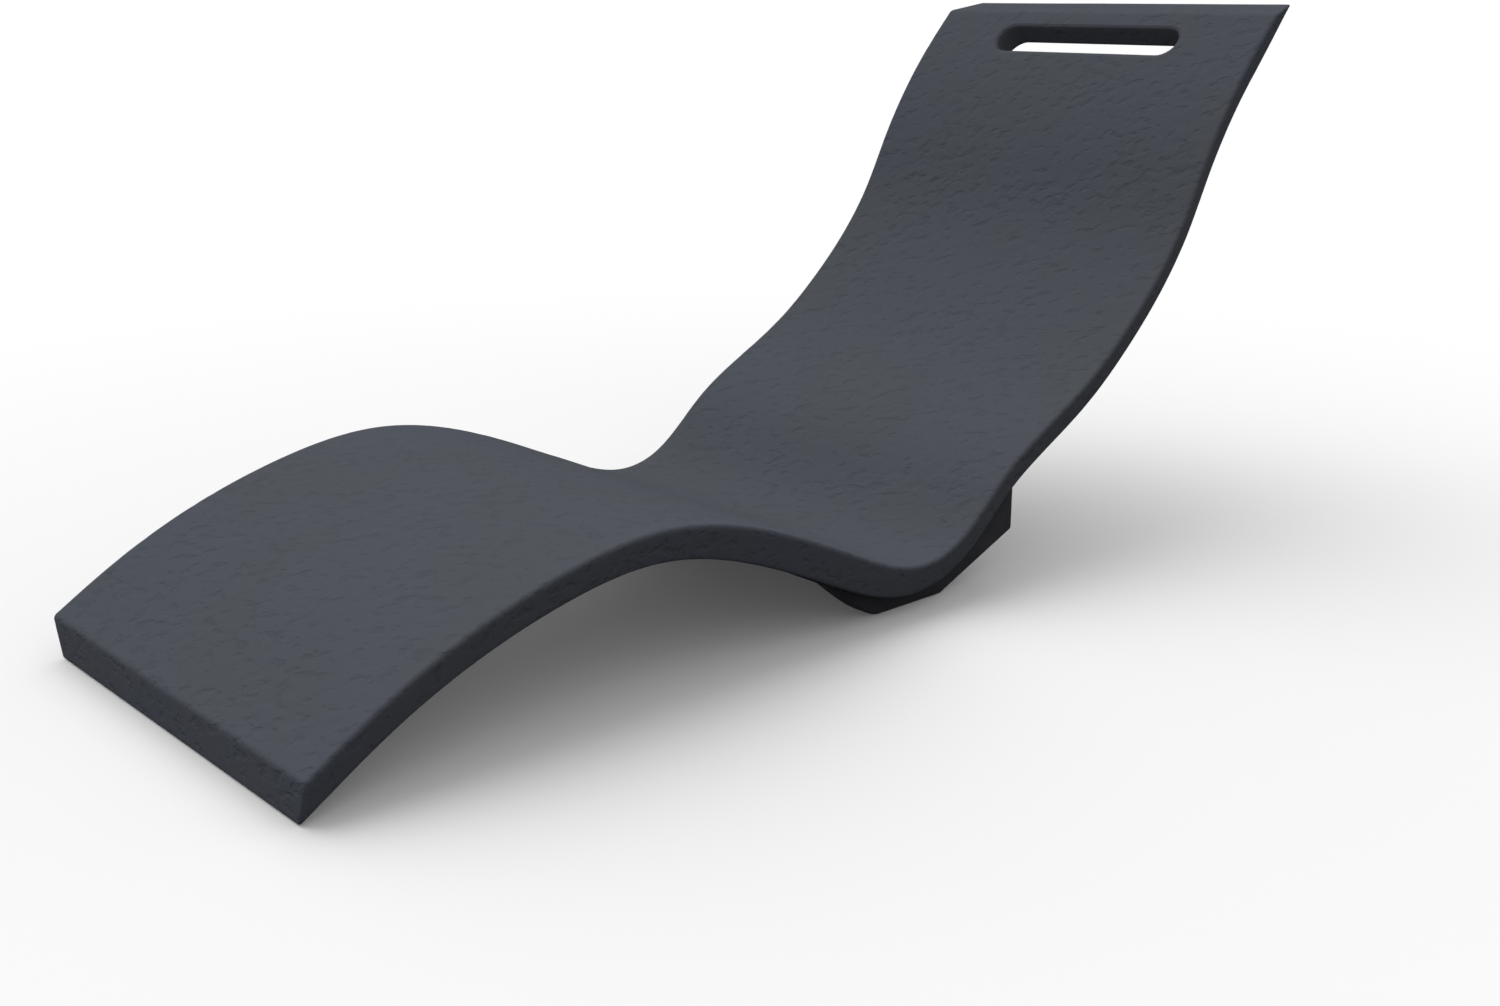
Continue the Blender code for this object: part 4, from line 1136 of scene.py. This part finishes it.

# %% [markdown]
# ## Plain plastics, rubber and metal
# The base is the same charcoal plastic, finely grained, and its colour is painted darker: painted
# shade for the shade it stands in under the deck. Rubber is almost black and dull, with moulding dust
# in its pores. The bolts are stainless steel with fine turning marks, the inserts are brass. The foam
# never shows, and the sand only while the plug is out. One recipe serves each family of finishes, so
# only colours, roughness and grain have to be chosen for each.

# %% Other materials
BASE_SHEEN = 0.04
MARK_STRETCH = (1, 1, 8)
PLASTICS = {
    # The base's colours are painted shade: the deck's plastic made darker for the shade under the deck.
    "base_plastic": ((0.031, 0.032, 0.036), (0.037, 0.038, 0.043), 0.66, 420, 0.0004),
    "plug_plastic": ((0.020, 0.020, 0.022), (0.028, 0.028, 0.031), 0.48, 700, 0.0001),
    "cap_plastic": ((0.022, 0.022, 0.024), (0.030, 0.030, 0.033), 0.50, 700, 0.0001),
    "pad_rubber": ((0.012, 0.012, 0.013), (0.022, 0.021, 0.021), 0.82, 800, 0.0002),
    "seal_rubber": ((0.012, 0.012, 0.013), (0.018, 0.018, 0.018), 0.72, 900, 0.0001),
}


def grained_plastic(name, dark, light, roughness, grain_scale, grain_depth):
    material, tree, shader = new_material(name, roughness)
    place = object_place(tree)
    clouds = between(tree, noise_node(tree, place, 14, 4.0), 0.35, 0.65)
    colour = mixed(tree, clouds, dark, light)
    dull_spots = noise_node(tree, place, 70, 4.0)
    shine = between(tree, dull_spots, 0.3, 0.7, roughness - 0.06, roughness + 0.06)
    normal = bumped(tree, noise_node(tree, place, grain_scale, 3.0), grain_depth)
    use_on_shader(tree, shader, colour, shine, normal)
    return material


def metal_material(name, dark, light, roughness):
    material, tree, shader = new_material(name, roughness, 1.0)
    place = object_place(tree)
    marks = noise_node(tree, stretched(tree, place, MARK_STRETCH), 900, 3.0)
    colour = mixed(tree, between(tree, marks, 0.35, 0.65), dark, light)
    shine = between(tree, marks, 0.3, 0.7, roughness - 0.07, roughness + 0.09)
    use_on_shader(tree, shader, colour, shine, bumped(tree, marks, 0.00003))
    return material


def grain_material(name, dark, light, scale, depth):
    material, tree, shader = new_material(name, 0.92)
    place = object_place(tree)
    cells = add_node(tree, "ShaderNodeTexVoronoi", Scale=scale)
    tree.links.new(place, cells.inputs["Vector"])
    colour = mixed(tree, between(tree, cells.outputs["Distance"], 0.1, 0.7), light, dark)
    use_on_shader(tree, shader, colour, normal=bumped(tree, cells.outputs["Distance"], depth))
    return material


plastics = {name: grained_plastic(name, *look) for name, look in PLASTICS.items()}
base_shader = plastics["base_plastic"].node_tree.nodes["Principled BSDF"]
base_shader.inputs["Specular IOR Level"].default_value = BASE_SHEEN
stainless = metal_material("stainless_steel", (0.50, 0.51, 0.53), (0.62, 0.63, 0.65), 0.30)
brass = metal_material("turned_brass", (0.62, 0.43, 0.17), (0.76, 0.56, 0.26), 0.33)
foam = grain_material("core_foam", (0.62, 0.56, 0.38), (0.80, 0.75, 0.58), 260, 0.0008)
sand = grain_material("ballast_sand", (0.36, 0.29, 0.20), (0.62, 0.54, 0.42), 700, 0.0006)

give(base, plastics["base_plastic"])
give(plug, plastics["plug_plastic"])
give(seal, plastics["seal_rubber"])
give(cap, plastics["cap_plastic"])
for item in bolts + washers:
    give(item, stainless)
for item in inserts:
    give(item, brass)
for item in pads + glides:
    give(item, plastics["pad_rubber"])
give(nodes["deck_foam_core"], foam)
give(nodes["base_ballast"], sand)
print("materials", len(bpy.data.materials))

# %% [markdown]
# ## The floor
# The photograph has a white studio floor that fades into a white background, with one soft shadow.
# The floor looks white to the camera and to shiny things, but sends little light back onto the
# lounger, whose sides are therefore dark. Near the lounger it glows a little for the camera, which is
# painted light that lightens its shadow. Far away it turns into plain white, so no horizon shows.

# %% Floor
FLOOR_SIZE = 60.0
FLOOR_WHITE = (0.955, 0.955, 0.955)
FLOOR_BOUNCE = (0.12, 0.12, 0.12)
FADE_START = 0.8
FADE_END = 2.7
# A small glow near the lounger: painted light that lightens the shadow on the floor.
SHADOW_LIFTING_GLOW = 0.05


def seen_directly(tree):
    """1 for rays from the camera, a mirror or a glass, and 0 for scattered light."""
    rays = add_node(tree, "ShaderNodeLightPath").outputs
    seen = combined(tree, "MAXIMUM", rays["Is Camera Ray"], rays["Is Glossy Ray"])
    return combined(tree, "MAXIMUM", seen, rays["Is Transmission Ray"])


def far_away(tree):
    """A little near the lounger, as painted light that lightens its shadow, and 1 far from it, with a
    soft rise.
    """
    length = add_node(tree, "ShaderNodeVectorMath", operation="LENGTH")
    tree.links.new(object_place(tree), length.inputs[0])
    return between(tree, length.outputs["Value"], FADE_START, FADE_END, SHADOW_LIFTING_GLOW, 1.0)


def floor_material():
    material, tree, shader = new_material("studio_floor", 0.9)
    shader.inputs["Specular IOR Level"].default_value = 0.0
    direct = seen_directly(tree)
    use_on_shader(tree, shader, mixed(tree, direct, FLOOR_BOUNCE, FLOOR_WHITE))
    white = add_node(tree, "ShaderNodeEmission", Strength=1.0)
    blend = add_node(tree, "ShaderNodeMixShader")
    surfaces = (times(tree, direct, far_away(tree)), shader.outputs[0], white.outputs[0])
    for output, socket in zip(surfaces, blend.inputs):
        tree.links.new(output, socket)
    tree.links.new(blend.outputs[0], tree.nodes["Material Output"].inputs["Surface"])
    return material


bpy.ops.mesh.primitive_plane_add(size=FLOOR_SIZE)
floor = bpy.context.object
floor.name = "studio_floor"
give(floor, floor_material())
print("floor is", FLOOR_SIZE, "m wide and white from", FADE_END, "m on")

# %% [markdown]
# ## Sky and lamps
# The light in the photograph is a soft dome with a large soft light high on the left: the right side
# band and the foot face are dark, and the shadow falls to the right. A dim sky gives the dome, and one
# very soft sun lamp gives the rest. A sun lamp lights the floor evenly out to where it fades, which a
# lamp hung over the object couldn't do.

# %% Sky and lamps
SKY_LIGHT = 0.63
SUN_LIGHT = 1.44
SUN_SOFTNESS = math.radians(85)
SUN_PLACE = (-2.45, -0.10, 3.2)

world = bpy.data.worlds.new("studio_sky")
scene.world = world
world.use_nodes = True
sky_tree = world.node_tree
sky = sky_tree.nodes["Background"]
sky.inputs["Color"].default_value = (1.0, 1.0, 1.0, 1.0)
sky_strength = between(sky_tree, seen_directly(sky_tree), 0.0, 1.0, SKY_LIGHT, 1.0)
sky_tree.links.new(sky_strength, sky.inputs["Strength"])

sun_turn = Vector(SUN_PLACE).to_track_quat("Z", "Y").to_euler()
bpy.ops.object.light_add(type="SUN", location=SUN_PLACE, rotation=sun_turn)
lamp = bpy.context.object
lamp.name = "soft_sun"
lamp.data.energy = SUN_LIGHT
lamp.data.angle = SUN_SOFTNESS
scene.view_settings.view_transform = "Standard"
print("sky", SKY_LIGHT, "sun", SUN_LIGHT)
